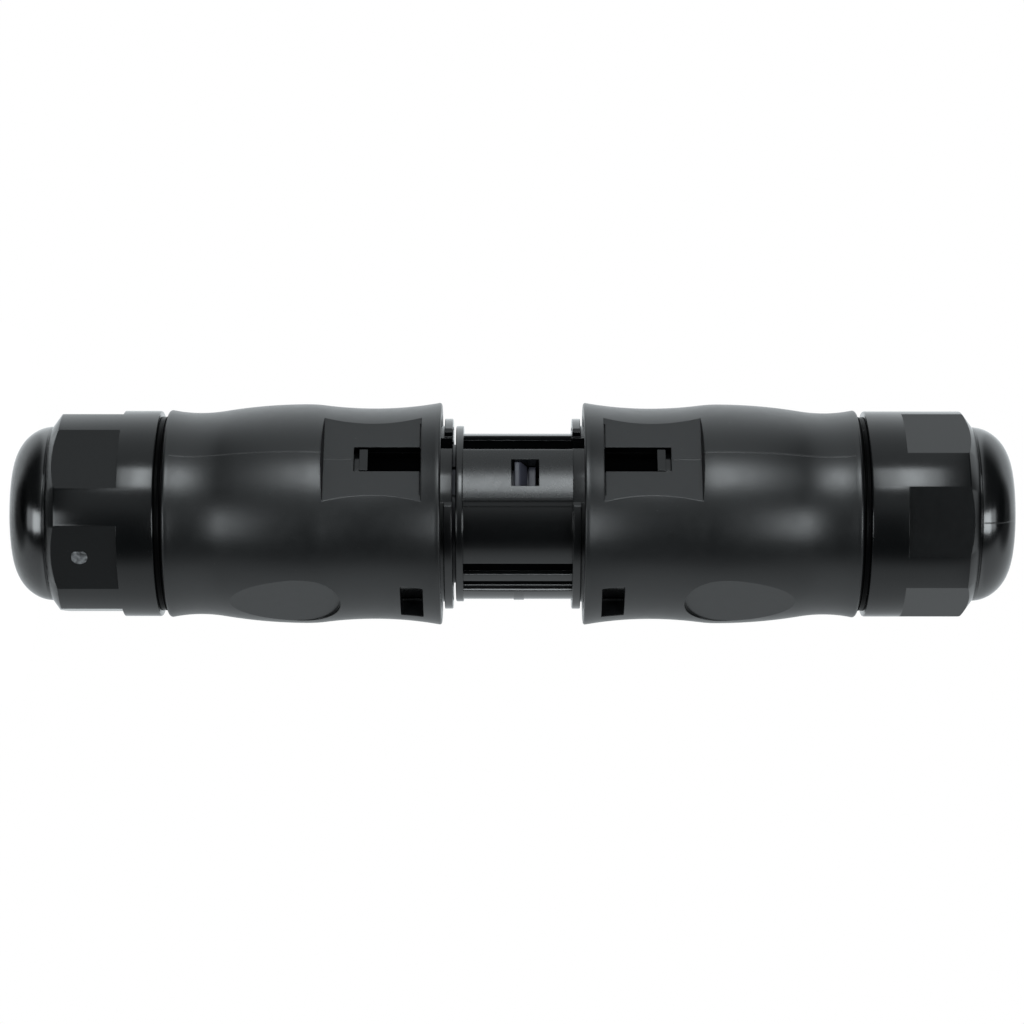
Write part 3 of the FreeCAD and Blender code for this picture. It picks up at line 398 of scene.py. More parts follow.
rubberLook = {
    "darkTone": (0.0012, 0.0012, 0.0013), "lightTone": (0.002, 0.002, 0.0021), "driftScale": 120,
    "dustTone": (0.25, 0.25, 0.25), "dust": 0.4, "dustScale": 1500, "dustFrom": 0.74,
    "roughness": (0.3, 0.4), "glossScale": 420, "grainScale": 2600, "grainStrength": 0.25, "grainDepth": 0.03,
    "edge": 0.06, "specular": 0.3, "ior": 1.12,
}
gateLook = {
    "darkTone": (0.012, 0.013, 0.014), "lightTone": (0.17, 0.175, 0.18), "driftScale": 1900,
    "dustTone": (0.4, 0.4, 0.4), "dust": 0.4, "dustScale": 3600, "dustFrom": 0.66,
    "roughness": (0.35, 0.5), "glossScale": 900, "grainScale": 2600, "grainStrength": 0.6, "grainDepth": 0.06,
    "edge": 0.04,
}
brassLook = {
    "darkTone": (0.55, 0.4, 0.17), "lightTone": (0.76, 0.6, 0.3), "tarnishScale": 500, "roughness": (0.2, 0.32),
    "ringScale": 900, "ringWobble": 0.4, "ringStrength": 0.15, "ringDepth": 0.005,
}
steelLook = brassLook | {
    "darkTone": (0.45, 0.45, 0.44), "lightTone": (0.62, 0.62, 0.6), "tarnishScale": 700, "roughness": (0.25, 0.38),
    "ringScale": 700,
}
finishes = {
    "grained_black": mouldedPlastic("grainedBlack", grainedBlackLook),
    "smooth_black": mouldedPlastic("smoothBlack", smoothBlackLook),
    "violet_grey": mouldedPlastic("violetGrey", violetGreyLook),
    "black_rubber": mouldedPlastic("blackRubber", rubberLook),
    "contact_brass": metal("contactBrass", brassLook),
    "screw_steel": metal("screwSteel", steelLook),
}
padFinish = mouldedPlastic("padBlack", padBlackLook)
panelFinish = mouldedPlastic("panelBlack", panelBlackLook)
# the near-black finish that paints shade into recesses
paintedShadeFinish = mouldedPlastic("paintedShadeBlack", paintedShadeLook)
nutFinish = mouldedPlastic("nutBlack", nutBlackLook)
domeFinish = mouldedPlastic("domeBlack", domeBlackLook)
gateFinish = mouldedPlastic("gateScar", gateLook)
paintedShadeCoreFinish = mouldedPlastic("coreVioletPaintedShade", paintedShadeCoreLook)
# the socket core takes the darkened copy with painted shade; every other part keeps its own finish
for part in frame["record"]["subparts"]:
    node = frame["nodes"][part["node"]]
    node.data.materials.clear()
    node.data.materials.append(paintedShadeCoreFinish if part["node"] == "socket_core" else finishes[part["material_slot"]])
print("finishes ready")

sleeve = {
    "lipStart": 11.1, "mouth": 15.3, "lip": lipRadius, "lipRound": 0.35, "chamfer": 0.3,
    "waist": 16.6, "waistUp": 10.5, "belly": 17.27, "bellyUp": 21.0, "bellyCurve": 21.0,
    "neck": 15.88, "neckUp": 38.0, "neckCurve": 24.0,
    "tail": 54.0, "tailRadius": 16.33, "tailRound": 0.5, "spigot": 12.95, "spigotEnd": 62.5, "spigotEdge": 0.4,
    "glandBore": 11.2, "seat": 49.5, "webBore": 7.8, "webFront": 48.1, "bore": 14.0, "boreEnd": 45.5,
    "rimBack": 13.3, "sunk": 0.1,
    "padDistance": 15.2, "padLow": 14.1, "padHigh": 29.2, "slotHigh": 24.5, "slotWidth": 4.5,
    "windowLow": 13.85, "windowHigh": 17.4, "windowWidth": 8.2, "openingFrom": 13.5,
    "slotCorner": 0.12, "windowCorner": 0.3,
    "padSlope": 0.17, "padSlit": 0.22, "padSlitDepth": 0.35,
    "scoopLow": 26.7, "scoopWidth": 11.6, "scoopFloor": 16.1, "scoopSlope": 1.0,
    "threadCrest": 13.45, "threadLow": 55.2, "threadHigh": 61.6, "threadPitch": 1.5, "threadWidth": 0.62,
    "seamHeight": {"socket": 0.018, "plug": 0.045}, "seamWidth": 0.2,
    "facet": 0.6, "segments": 224,
}


def barrelSide(s):
    # the waisted outside from the lip to the tail
    frontRun, frontDrop = s["bellyUp"] - s["waistUp"], s["belly"] - s["waist"]
    frontSum = (frontRun**2 + frontDrop**2) / (2 * frontDrop)
    frontShare = (frontSum - s["bellyCurve"]) / frontSum
    backRun, backDrop = s["neckUp"] - s["bellyUp"], s["belly"] - s["neck"]
    backSum = (backRun**2 + backDrop**2) / (2 * backDrop)
    backShare = (backSum - s["neckCurve"]) / backSum
    lipRun, lipRise = s["waistUp"] - s["lipRound"], s["lip"] - s["waist"]
    tailRun, tailRise = s["tail"] - s["tailRound"] - s["lipStart"] - s["neckUp"], s["tailRadius"] - s["neck"]
    base = s["lipStart"]
    return [
        (s["lip"] - s["lipRound"], base, s["lipRound"], 1),
        (s["lip"], base + s["lipRound"], (lipRun**2 + lipRise**2) / (2 * lipRise), -1),
        (s["waist"], base + s["waistUp"], frontSum - s["bellyCurve"], -1),
        (s["waist"] + frontDrop * frontShare, base + s["waistUp"] + frontRun * frontShare, s["bellyCurve"], 1),
        (s["belly"], base + s["bellyUp"], backSum - s["neckCurve"], 1),
        (s["belly"] - backDrop * backShare, base + s["bellyUp"] + backRun * backShare, s["neckCurve"], -1),
        (s["neck"], base + s["neckUp"], (tailRun**2 + tailRise**2) / (2 * tailRise), -1),
        (s["tailRadius"], s["tail"] - s["tailRound"], s["tailRound"], 1),
        (s["tailRadius"] - s["tailRound"], s["tail"]),
    ]


def sleeveShape(s):
    inside = [
        (s["spigot"] + s["chamfer"], s["tail"]),
        (s["spigot"], s["tail"] + s["chamfer"]),
        (s["spigot"], s["spigotEnd"] - s["spigotEdge"]),
        (s["spigot"] - s["spigotEdge"], s["spigotEnd"]),
        (s["glandBore"], s["spigotEnd"]),
        (s["glandBore"], s["seat"]),
        (s["webBore"], s["seat"]),
        (s["webBore"], s["webFront"]),
        (s["bore"], s["boreEnd"]),
        (s["bore"], s["rimBack"]),
        (s["mouth"], s["rimBack"]),
        (s["mouth"], s["lipStart"] + s["chamfer"]),
        (s["mouth"] + s["chamfer"], s["lipStart"]),
    ]
    shape = turned(traced(barrelSide(s) + inside, s["facet"]), s["segments"])
    wide = s["lip"] + 2 * spare
    for way in (-1, 1):
        slope = (wide - s["padDistance"]) * s["padSlope"]
        pad = [
            (s["padDistance"], s["padLow"]), (wide, s["padLow"]), (wide, s["padHigh"] + slope),
            (s["padDistance"], s["padHigh"]),
        ]
        cut(shape, prism([(way * y, z) for y, z in pad], -wide, wide, "X"))
        near, far = sorted((way * (s["padDistance"] - s["padSlitDepth"]), way * (s["padDistance"] + spare / 2)))
        across = math.sqrt(s["waist"] ** 2 - s["padDistance"] ** 2)
        cut(shape, box(-across, across, near, far, s["padLow"], s["padLow"] + s["padSlit"]))
    for axis, width, low, high, corner in (
        ("Y", s["slotWidth"], s["padLow"], s["slotHigh"], s["slotCorner"]),
        ("X", s["windowWidth"], s["windowLow"], s["windowHigh"], s["windowCorner"]),
    ):
        for way in (-1, 1):
            near, far = sorted((way * s["openingFrom"], way * wide))
            cut(shape, prism(rounded(rectangle(width, low, high), corner), near, far, axis))
    for way in (-1, 1):
        cut(shape, scoopCutter(s, way))
    return shape


def scoopCutter(s, way):
    # thumb scoop: a plane cut with a round blunt end, whose floor rises a little towards the tail
    half, low = s["scoopWidth"] / 2, s["scoopLow"]
    high = s["lipStart"] + s["neckUp"] + 2 * spare
    blunt = [(-half, low + half, half, 1), (0, low, half, 1), (half, low + half)]
    outline = traced(blunt + [(half, high), (-half, high)])
    slope = math.tan(math.radians(s["scoopSlope"]))
    shape = prism(outline, 0, 1, "X")
    for vertex in shape.data.vertices:
        floor = s["scoopFloor"] + (vertex.co.z - low) * slope
        vertex.co.x = way * (floor if vertex.co.x < 0.5 else s["lip"] + 2 * spare)
    if way < 0:
        shape.data.flip_normals()
    return shape


def seamLine(path, angle, height, width, sunk=0.03, root=0.12):
    # the fine raised line where the mould closed, along a path of (radius, height), let into the wall
    mesh = bmesh.new()
    previous = None
    for r, z in path:
        ring = [
            mesh.verts.new((r - sunk, -width / 2, z)),
            mesh.verts.new((r + height, -width / 6, z)),
            mesh.verts.new((r + height, width / 6, z)),
            mesh.verts.new((r - sunk, width / 2, z)),
            mesh.verts.new((r - root, 0, z)),
        ]
        if previous:
            for spot in range(5):
                after = (spot + 1) % 5
                mesh.faces.new((previous[spot], ring[spot], ring[after], previous[after]))
        else:
            mesh.faces.new(ring)
        previous = ring
    mesh.faces.new(previous)
    line = finished(mesh)
    line.data.transform(Matrix.Rotation(math.radians(angle), 4, "Z"))
    return line


def sleeveSeams(s, height):
    # along the barrel from the tail, and over each pad up to its slot
    low, high = s["padHigh"] + 0.1, s["tail"] - s["tailRound"]
    barrel = [(r, z) for r, z in traced(barrelSide(s), s["facet"]) if low < z < high]
    pad = [(s["padDistance"], s["slotHigh"] + 0.3), (s["padDistance"], s["padHigh"] - 0.05)]
    return [seamLine(path, angle, height, s["seamWidth"]) for path in (barrel, pad) for angle in (90, 270)]


def sleevePick(middle, normal, margin=0.05):
    # flat pads are a little rougher (1); the slots' walls and the bore in front get painted shade, a near-black
    # finish (2)
    deep = sleeve["padDistance"] - abs(middle.y)
    if abs(normal.y) > 0.999 and abs(deep) < 0.02:
        return 1
    acrossSlot = abs(middle.x) < sleeve["slotWidth"] / 2 + margin and middle.z < sleeve["slotHigh"] + margin
    onBore = math.hypot(middle.x, middle.y) < sleeve["bore"] + margin and middle.z < sleeve["padHigh"]
    return 2 if acrossSlot and 0.25 < deep < 3 or onBore else 0


for half in halves:
    thread = helixRidge(
        sleeve["spigot"] - sleeve["sunk"], sleeve["threadCrest"], sleeve["threadLow"], sleeve["threadHigh"],
        sleeve["threadPitch"], sleeve["threadWidth"],
    )
    body = joined([sleeveShape(sleeve), thread] + sleeveSeams(sleeve, sleeve["seamHeight"][half]))
    # the second extra finish is painted shade for the slots' walls and the bore
    looks = padFinish, paintedShadeFinish
    piece = place(body, f"{half}_barrel_sleeve", half, finishes["grained_black"], 25, looks, sleevePick)
    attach(piece, f"{half}_half")
    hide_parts(f"{half}_sleeve")
print("sleeves ready")

nut = {
    "bore": 13.6, "radius": 16.2, "front": 55.2, "hexStart": 60.9, "hexEnd": 70.4, "flatDistance": 15.25,
    "dome": 13.7, "domeStart": 72.3, "domeMiddle": 6.8, "domeRise": 6.1, "end": 78.4,
    "cableHole": 6.6, "holeEdge": 0.4,
    "endWall": 3.0, "throat": 10.4, "endCone": 2.4, "ringSeat": 68.2, "groove": 0.15, "chamfer": 0.3,
    "roll": {"socket": 0.0, "plug": -21.8},  # degrees that the flats are turned
    "threadCrest": 13.1, "threadPitch": 1.5, "threadWidth": 0.62, "threadEnd": 64.2, "sunk": 0.1,
    "flatHalf": 7, "flatGap": 0.12,
    "seamAngle": {"socket": 52, "plug": 309.4}, "seamHeight": 0.02, "seamWidth": 0.16, "segments": 240,
}
gate = {  # the mark on a flat where the plastic was let in; wall, shoulder and side are shares of the oval
    "flat": 210, "height": 66.7, "along": 2.5, "across": 2.1, "lift": 0.12, "sunk": 0.1, "ground": 0.03,
    "wall": 0.8, "shoulder": (0.34, 0.47), "side": 0.28,
}


def domeSide(n, turns):
    # points of the dome's elliptic side, by degrees from its root
    wide = n["dome"] - n["domeMiddle"]
    angles = [math.radians(turn) for turn in turns]
    return [(n["domeMiddle"] + wide * math.cos(a), n["domeStart"] + n["domeRise"] * math.sin(a)) for a in angles]


def nutShape(n, half):
    outline = [  # small offsets round off the collar's edges and the fine groove at the dome's foot
        (n["bore"], n["front"] + n["chamfer"]),
        (n["bore"] + n["chamfer"], n["front"]),
        (n["radius"] - 0.25, n["front"]),
        (n["radius"] - 0.07, n["front"] + 0.07),
        (n["radius"], n["front"] + 0.25),
        (n["radius"], n["hexEnd"] - 0.15),
        (n["radius"] - 0.04, n["hexEnd"] + 0.02),
        (n["radius"] - 0.14, n["hexEnd"] + 0.14),
        (n["dome"] + 0.08, n["domeStart"] - 0.08),
        (n["dome"] - n["groove"] + 0.02, n["domeStart"] - 0.04),
        (n["dome"] - n["groove"], n["domeStart"] + 0.02),
        (n["dome"] - n["groove"] + 0.03, n["domeStart"] + 0.1),
        *domeSide(n, [2.5, *range(5, 85, 5), 84, 87]),
        (n["cableHole"] + n["holeEdge"], n["end"]),
        (n["cableHole"] + 0.12, n["end"] - 0.12),
        (n["cableHole"], n["end"] - n["holeEdge"]),
        (n["cableHole"], n["end"] - n["endWall"]),
        (n["throat"] - n["endCone"], n["end"] - n["endWall"]),
        (n["throat"], n["end"] - n["endWall"] - n["endCone"]),
        (n["throat"], n["ringSeat"]),
        (n["bore"], n["ringSeat"]),
    ]
    shape = turned(traced(outline), n["segments"])
    wide, far, high = n["flatHalf"], n["radius"] + spare, n["domeStart"] - n["flatGap"]
    for index in range(6):
        angle = math.radians(n["roll"][half] + 30 + 60 * index)
        flat = box(n["flatDistance"], far, -wide, wide, n["hexStart"], high)
        flat.data.transform(Matrix.Rotation(angle, 4, "Z"))
        cut(shape, flat)
    return shape


def domeSeam(n, angle):
    # the faint line where the two halves of the mould met, from the chamfer over the dome
    return seamLine(domeSide(n, range(4, 80, 4)), angle, n["seamHeight"], n["seamWidth"])


def gateScar(g):
    # a shallow oval with one flatter side: a thin broken wall around rough ground
    def oval(k):
        turns = [math.radians(90 + 15 * index) for index in range(13)]
        wide, tall = k * g["across"], k * g["along"]
        outline = [(wide / 2 * math.cos(a), tall / 2 * math.sin(a)) for a in turns]
        across, up = wide * g["shoulder"][0], tall * g["shoulder"][1]
        outline += [(across, -up), (wide / 2, -tall * g["side"]), (wide / 2, tall * g["side"]), (across, up)]
        return [(y, g["height"] + z) for y, z in outline]

    scar = prism(oval(1), nut["flatDistance"] - g["sunk"], nut["flatDistance"] + g["lift"], "X")
    cut(scar, prism(oval(g["wall"]), nut["flatDistance"] + g["ground"], nut["flatDistance"] + spare, "X"))
    scar.data.transform(Matrix.Rotation(math.radians(g["flat"]), 4, "Z"))
    return scar


def nutPick(middle, normal, margin=0.05):
    # the dome is glossier than the collar
    return int(middle.z > nut["domeStart"] - margin)


for half in halves:
    thread = helixRidge(
        nut["bore"] + nut["sunk"], nut["threadCrest"], sleeve["threadLow"] + nut["threadPitch"] / 2,
        nut["threadEnd"], nut["threadPitch"], nut["threadWidth"],
    )
    body = joined([nutShape(nut, half), thread, domeSeam(nut, nut["seamAngle"][half])])
    piece = place(body, f"{half}_domed_nut", half, nutFinish, 25, (domeFinish,), nutPick)
    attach(piece, f"{half}_nut")
    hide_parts(f"{half}_gland_nut")
piece = place(gateScar(gate), "socket_nut_gate", "socket", gateFinish)
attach(piece, "socket_nut")
print("gland nuts ready")

ringSeal = {
    "inside": 13.0, "outside": 15.35, "root": 15.0, "front": 54.0, "lipFront": 54.35, "back": 55.15,
    "groove": 0.12, "edge": 0.1,
}
for half in halves:
    middle = (ringSeal["lipFront"] + ringSeal["back"]) / 2
    corners = [
        (ringSeal["inside"], ringSeal["front"]), (ringSeal["root"], ringSeal["front"]),
        (ringSeal["root"], ringSeal["lipFront"]), (ringSeal["outside"], ringSeal["lipFront"]),
        (ringSeal["outside"] - ringSeal["groove"], middle), (ringSeal["outside"], ringSeal["back"]),
        (ringSeal["inside"], ringSeal["back"]),
    ]
    shape = turned(rounded(corners, ringSeal["edge"]))
    piece = place(shape, f"{half}_ring_seal", half, finishes["black_rubber"], 50)
    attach(piece, f"{half}_half")
    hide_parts(f"{half}_nut_seal")
print("ring seals ready")

insert = {
    "bore": 11.6, "radius": 13.85, "end": 33.5, "bodyEdge": 0.15,
    "rimRadius": 15.0, "rimFront": 9.3, "rimBack": 13.3, "rimEdge": 0.25, "rimBackEdge": 0.1, "rimRoot": 0.6,
    "rimGroove": (10.6, 11.5), "rimGrooveRadius": 13.9, "rimGrooveEdge": 0.12,
    "grooveFront": 29.9, "grooveBack": 31.1, "grooveFloor": 12.9,
    "breakAngle": 29.0, "breakFlare": 2.5, "breakEdge": 14.65, "breakRoot": 0.9,
    "pocketRadius": 11.9, "pocket": {"socket": (103.3, 115), "plug": (65, 76.7)},  # degrees round
    "pocketPast": {"socket": 0.5, "plug": 0.1},
    "tongueRadius": 12.1, "tongueLow": 14.1, "tongueWidth": 4.5, "tongueWall": 0.4, "tongueEdge": 0.3,
    "lugLow": 22.35, "lugHigh": 23.65, "lugTop": 15.05, "lugRoot": 12.5, "lugWidth": 3.9, "corner": 0.12,
    "driver": 1.7, "driverHeight": 27.0, "driverPitch": 6.4, "driverReach": (-20, -5),
    "noseFront": -8.85, "flange": 1.2, "flangeEdge": 0.22, "nose": 13.0, "noseInside": 11.55, "noseWall": 1.1,
    "bite": 0.2,  # how far the nose's section reaches into what it joins
    # nose faces below the last radius here get the painted-shade finish
    "edge": 0.1, "facet": 1.5, "panelFrom": 13.6, "panel": (77, 114), "paintedShadeBelow": 12.02,
    "windowLow": -0.2, "windowHigh": 4.1, "windowWidth": 4.7, "windowFrom": 10.5,
    "pipLow": 0.2, "pipHigh": 1.8, "pipLift": 0.15, "pip": (7.2, 38),
}
noseStretches = [  # name, first and last angle and radius, all round the nose
    ("rearPanel", 76.7, 114.5, 13.8), ("rearFrame", 114.5, 118, 13.0), ("rearRecess", 118, 163, 12.4),
    ("rearKey", 163, 171.5, 11.75), ("rearRib", 171.5, 179.2, 12.75), ("rearGully", 179.2, 183.2, 12.2),
    ("rearStep", 183.2, 187, 12.55), ("rearPlate", 187, 228.5, 12.65), ("frontGroove", 228.5, 256.7, 11.8),
    ("frontPanel", 256.7, 295.2, 13.8), ("frontFrame", 295.2, 298.6, 13.0), ("frontRecess", 298.6, 342.4, 12.4),
    ("frontKey", 342.4, 351.5, 11.75), ("frontRib", 351.5, 359.2, 12.75), ("frontGully", 359.2, 363.2, 12.2),
    ("frontStep", 363.2, 367, 12.95), ("frontPlate", 367, 417.3, 13.45), ("rearGroove", 417.3, 436.7, 11.8),
]


def ringPoint(radius, angle):
    return Vector((radius * math.cos(math.radians(angle)), radius * math.sin(math.radians(angle))))


def ringSlice(inner, outer, first, last, steps):
    # outline of a slice between two radii and two angles
    angles = [first + (last - first) * index / steps for index in range(steps + 1)]
    outline = [tuple(ringPoint(inner, angle)) for angle in angles]
    return outline + [tuple(ringPoint(outer, angle)) for angle in reversed(angles)]


def nosePoints(i):
    # the nose's section: stretches at their own depths, each step with a rounded outer edge
    stretches = [(first, last, radius) for _, first, last, radius in noseStretches]
    points = []
    for index, (first, last, radius) in enumerate(stretches):
        before, after = stretches[index - 1][2], stretches[(index + 1) % len(stretches)][2]
        edge = math.degrees(i["edge"] / radius)
        if before < radius:
            points += [(first, radius - i["edge"]), (first + edge * 0.3, radius - i["edge"] * 0.3)]
            first += edge
        ending = []
        if after < radius:
            ending = [(last - edge * 0.3, radius - i["edge"] * 0.3), (last, radius - i["edge"])]
            last -= edge
        count = max(2, round((last - first) / i["facet"]))
        points += [(first + (last - first) * k / count, radius) for k in range(count + 1)] + ending
    return [tuple(ringPoint(radius, angle)) for angle, radius in points]


def breakCutter(i, way):
    # the gap in the rim where a panel runs through, wider at its outer edge
    inside = ringPoint(i["breakEdge"], 90 - i["breakAngle"] + i["breakFlare"])
    outside = ringPoint(i["rimRadius"], 90 - i["breakAngle"])
    beyond = outside * 2 - inside
    foot = ringPoint(i["radius"] - i["breakRoot"], 90 - i["breakAngle"] + i["breakFlare"])
    side = [tuple(foot), tuple(inside), tuple(beyond), (beyond.x, i["rimRadius"] + 2 * spare)]
    outline = side + [(-x, y) for x, y in reversed(side)]
    return prism([(x, way * y) for x, y in outline], i["rimFront"] - spare / 2, i["rimBack"] + 0.01)


def pocketCutter(i, half, turn):
    # the deep place beside the panel, under the break
    first, last = i["pocket"][half]
    outline = ringSlice(i["pocketRadius"], i["rimRadius"] + spare, first + turn, last + turn, 6)
    return prism(outline, i["rimFront"] - i["pocketPast"][half], i["rimBack"])


def rimShape(i):
    # the rim in front of the sleeve's lip, with its neck groove, broken where the panels run through
    root = i["radius"] - i["rimRoot"]
    profile = [
        (root, i["rimFront"], 0), (i["rimRadius"], i["rimFront"], i["rimEdge"]),
        (i["rimRadius"], i["rimGroove"][0], i["rimGrooveEdge"]), (i["rimGrooveRadius"], i["rimGroove"][0]),
        (i["rimGrooveRadius"], i["rimGroove"][1]), (i["rimRadius"], i["rimGroove"][1]),
        (i["rimRadius"], i["rimBack"]), (root, i["rimBack"], 0),
    ]
    shape = turned(rounded(profile, i["rimBackEdge"]))
    for way in (-1, 1):
        cut(shape, breakCutter(i, way))
    return shape


def noseShape(i, start):
    # panels, plates and grooves between the flange and the rim
    nose = prism(nosePoints(i), start - i["bite"], i["rimFront"] + i["bite"])
    inside = i["noseInside"]
    cut(nose, rod(inside, start - spare, i["rimFront"] + spare, 96, 0.01))
    radii = {name: radius for name, _, _, radius in noseStretches}
    pip = ringSlice(inside + i["bite"], radii["frontPlate"] + i["pipLift"], *i["pip"], 10)
    add(nose, prism(pip, i["pipLow"], i["pipHigh"]))
    return nose


def insertPick(middle, normal, margin=0.05):
    # raised panels are grained (1); groove floors, key grooves and the springy walls' faces get painted shade, a
    # near-black finish (2)
    radius = math.hypot(middle.x, middle.y)
    angle = math.degrees(math.atan2(middle.y, middle.x)) % 180
    if insert["noseFront"] + insert["flange"] < middle.z < insert["rimFront"] and radius > insert["bore"] + 0.02:
        if radius > insert["panelFrom"] and insert["panel"][0] < angle < insert["panel"][1]:
            return 1
        # nose faces below this radius get painted shade
        return 2 if radius < insert["paintedShadeBelow"] else 0
    across = abs(middle.x) < insert["tongueWidth"] / 2 + margin
    along = insert["tongueLow"] < middle.z < insert["lugLow"] + margin
    deep = insert["tongueRadius"] - insert["tongueWall"] < radius < insert["radius"] - insert["tongueEdge"]
    return 2 if across and along and deep else 0


def insertShape(i, half):
    back = [
        (i["radius"], i["grooveFront"]), (i["grooveFloor"], i["grooveFront"]), (i["grooveFloor"], i["grooveBack"]),
        (i["radius"], i["grooveBack"]), (i["radius"], i["end"]), (i["bore"], i["end"]),
    ]
    start = i["noseFront"] + i["flange"]
    if half == "plug":
        root = i["nose"] - i["noseWall"]
        front = [
            (i["bore"], i["noseFront"]), (i["radius"], i["noseFront"], i["flangeEdge"]), (i["radius"], start),
            (root, start), (root, i["rimFront"]), (i["radius"] - 0.01, i["rimFront"]),
        ]
    else:
        front = [(i["bore"], i["rimFront"]), (i["radius"], i["rimFront"])]
    shape = turned(rounded(front + back, i["bodyEdge"], 2))
    if half == "plug":
        add(shape, noseShape(i, start))
    for turn in (0, 180):
        cut(shape, pocketCutter(i, half, turn))
    for way in (-1, 1):
        wide = i["tongueWidth"] / 2
        low, high = sorted((way * i["tongueRadius"], way * i["rimRadius"]))
        cut(shape, box(-wide, wide, low, high, i["tongueLow"], i["lugLow"]))
    if half == "plug":
        corners = rectangle(i["windowWidth"], i["windowLow"], i["windowHigh"])
        for turn in (0, 180):
            window = prism(rounded(corners, i["corner"]), i["windowFrom"], i["rimRadius"], "Y")
            window.data.transform(Matrix.Rotation(math.radians(latchTurn + turn), 4, "Z"))
            cut(shape, window)
    for pitch in (-1, 0, 1):
        hole = rod(i["driver"], *i["driverReach"], 32)
        middle = Matrix.Translation((pitch * i["driverPitch"], 0, i["driverHeight"]))
        hole.data.transform(middle @ Matrix.Rotation(-math.pi / 2, 4, "X"))
        cut(shape, hole)
    pieces = [shape, rimShape(i)]
    for way in (-1, 1):
        low, high = sorted((way * i["lugRoot"], way * i["lugTop"]))
        lug = rectangle(i["lugWidth"], i["lugLow"], i["lugHigh"])
        pieces.append(prism(rounded(lug, i["corner"]), low, high, "Y"))
    return joined(pieces)


for half in halves:
    name = "plug_nose_insert" if half == "plug" else "socket_rim_insert"
    # the second extra finish is painted shade for grooves and the tongue's walls
    looks = panelFinish, paintedShadeFinish
    piece = place(insertShape(insert, half), name, half, finishes["smooth_black"], 25, looks, insertPick)
    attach(piece, f"{half}_half")
    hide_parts(f"{half}_insert")
print("inserts ready")

latch = {
    "inner": 9.1, "outer": 10.4, "root": 15.2, "width": 4.5, "hookTop": 12.95, "hookLow": 0.3, "hookFlat": 1.2,
    "slopeFoot": 2.3, "notch": 2.5, "toeTop": 11.2, "toeEnd": 3.6, "edge": 0.13,
    "pivot": 9.6, "pivotHeight": 14.3, "trunnion": 0.85, "trunnionReach": 0.75, "trunnionEdge": 0.1,
}


def armShape(a, way):
    # springy arm with its hook and, past a notch, the toe that is pressed to free it
    side = [  # a third number is that corner's own rounding
        (a["inner"], a["root"]), (a["outer"], a["root"]),
        (a["outer"], -a["hookLow"], 0.05), (a["hookTop"], -a["hookLow"]), (a["hookTop"], -a["hookFlat"], 0.3),
        (a["toeTop"], -a["slopeFoot"]), (a["outer"], -a["slopeFoot"], 0.03), (a["outer"], -a["notch"], 0.03),
        (a["toeTop"], -a["notch"]), (a["toeTop"], -a["toeEnd"]), (a["inner"], -a["toeEnd"]),
    ]
    outline = [(way * y, z) for y, z in rounded(side, a["edge"])]
    arm = prism(outline, -a["width"] / 2, a["width"] / 2, "X")
    reach = a["width"] / 2 + a["trunnionReach"]
    thick, edge = a["trunnion"], a["trunnionEdge"]
    pin = turned([
        (0.001, -reach), (thick - edge, -reach), (thick, edge - reach),
        (thick, reach - edge), (thick - edge, reach), (0.001, reach),
    ], 32)
    middle = Matrix.Translation((0, way * a["pivot"], a["pivotHeight"]))
    pin.data.transform(middle @ Matrix.Rotation(math.pi / 2, 4, "Y"))
    whole = joined([arm, pin])
    whole.data.transform(Matrix.Rotation(math.radians(-latchTurn), 4, "Z"))
    return whole


for side, way in (("front", -1), ("rear", 1)):
    piece = place(armShape(latch, way), f"{side}_latch_hook", "socket", finishes["violet_grey"])
    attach(piece, f"{side}_latch")
    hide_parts(f"latch_arm_{side}")
print("latch arms ready")

studio = {
    "viewAngle": 303.5, "distance": 0.537, "lens": 119.5, "lower": 0.00008, "raise": 0.00025, "roll": 0.04,
    "lamps": [  # name, angle above the view, angle along the axis, distance, size along, size across, watts
        ("topBox", 40, -2.6, 0.9, 0.38, 0.37, 2.25),
        ("topCore", 40, -3.8, 0.89, 0.13, 0.33, 0.67),
        ("lowerBox", -12, 34, 0.9, 0.35, 0.38, 2.3),
        ("upperBox", -12, -31, 0.9, 0.35, 0.38, 2.6),
        ("lowerFar", -10, 54, 0.9, 0.3, 0.34, 0.6),
        ("upperFar", -10, -50, 0.9, 0.22, 0.34, 0.5),
    ],
    "plinth": 0.03, "plinthEdge": 0.001, "plinthGap": 0.0002, "floor": 1.2, "floorDrop": 0.9,
    "shadow": 0.12, "stageGlow": 1.12,
    "sky": [  # level of the surroundings by the angle round the axis from the view towards the image's top
        (-180, 1.0), (-160, 0.72), (-145, 0.66), (-116, 0.85), (-90, 0.98), (-70, 0.92), (-62, 0.76),
        (-56, 0.44), (-50, 0.18), (-44, 0.05), (-38, 0.02), (-24, 0.03), (-14, 0.06), (-8, 0.12), (-2, 0.2),
        (4, 0.36), (12, 0.5), (22, 0.54), (50, 0.62), (66, 0.76), (76, 0.84), (84, 0.88), (94, 1.0),
        (104, 1.15), (116, 1.35), (130, 1.45), (160, 1.2),
    ],
    "endSky": [  # the same towards the object's two ends
        (-180, 0.8), (-116, 0.7), (-72, 0.65), (-58, 0.55), (-50, 0.3), (-44, 0.03), (84, 0.03),
        (100, 0.25), (114, 0.6), (130, 1.0), (160, 1.0),
    ],
    "ends": (0.25, 0.36),  # a direction's share along the axis from which the end levels blend in
    "poles": (0.84, 0.96), "poleLevel": 0.12,  # the same for the dimming straight along the axis
    "cool": (0.94, 1.0, 1.03),
}
viewTurn = math.radians(studio["viewAngle"])
toCamera = Vector((math.cos(viewTurn), math.sin(viewTurn), 0))
imageUp = Vector((math.cos(viewTurn - math.pi / 2), math.sin(viewTurn - math.pi / 2), 0))
imageRight = Vector((0, 0, 1))
target = Vector((0, 0, midHeight))


def aimed(right, up, back, position):
    matrix = Matrix((right, up, back)).transposed().to_4x4()
    matrix.translation = position
    return matrix


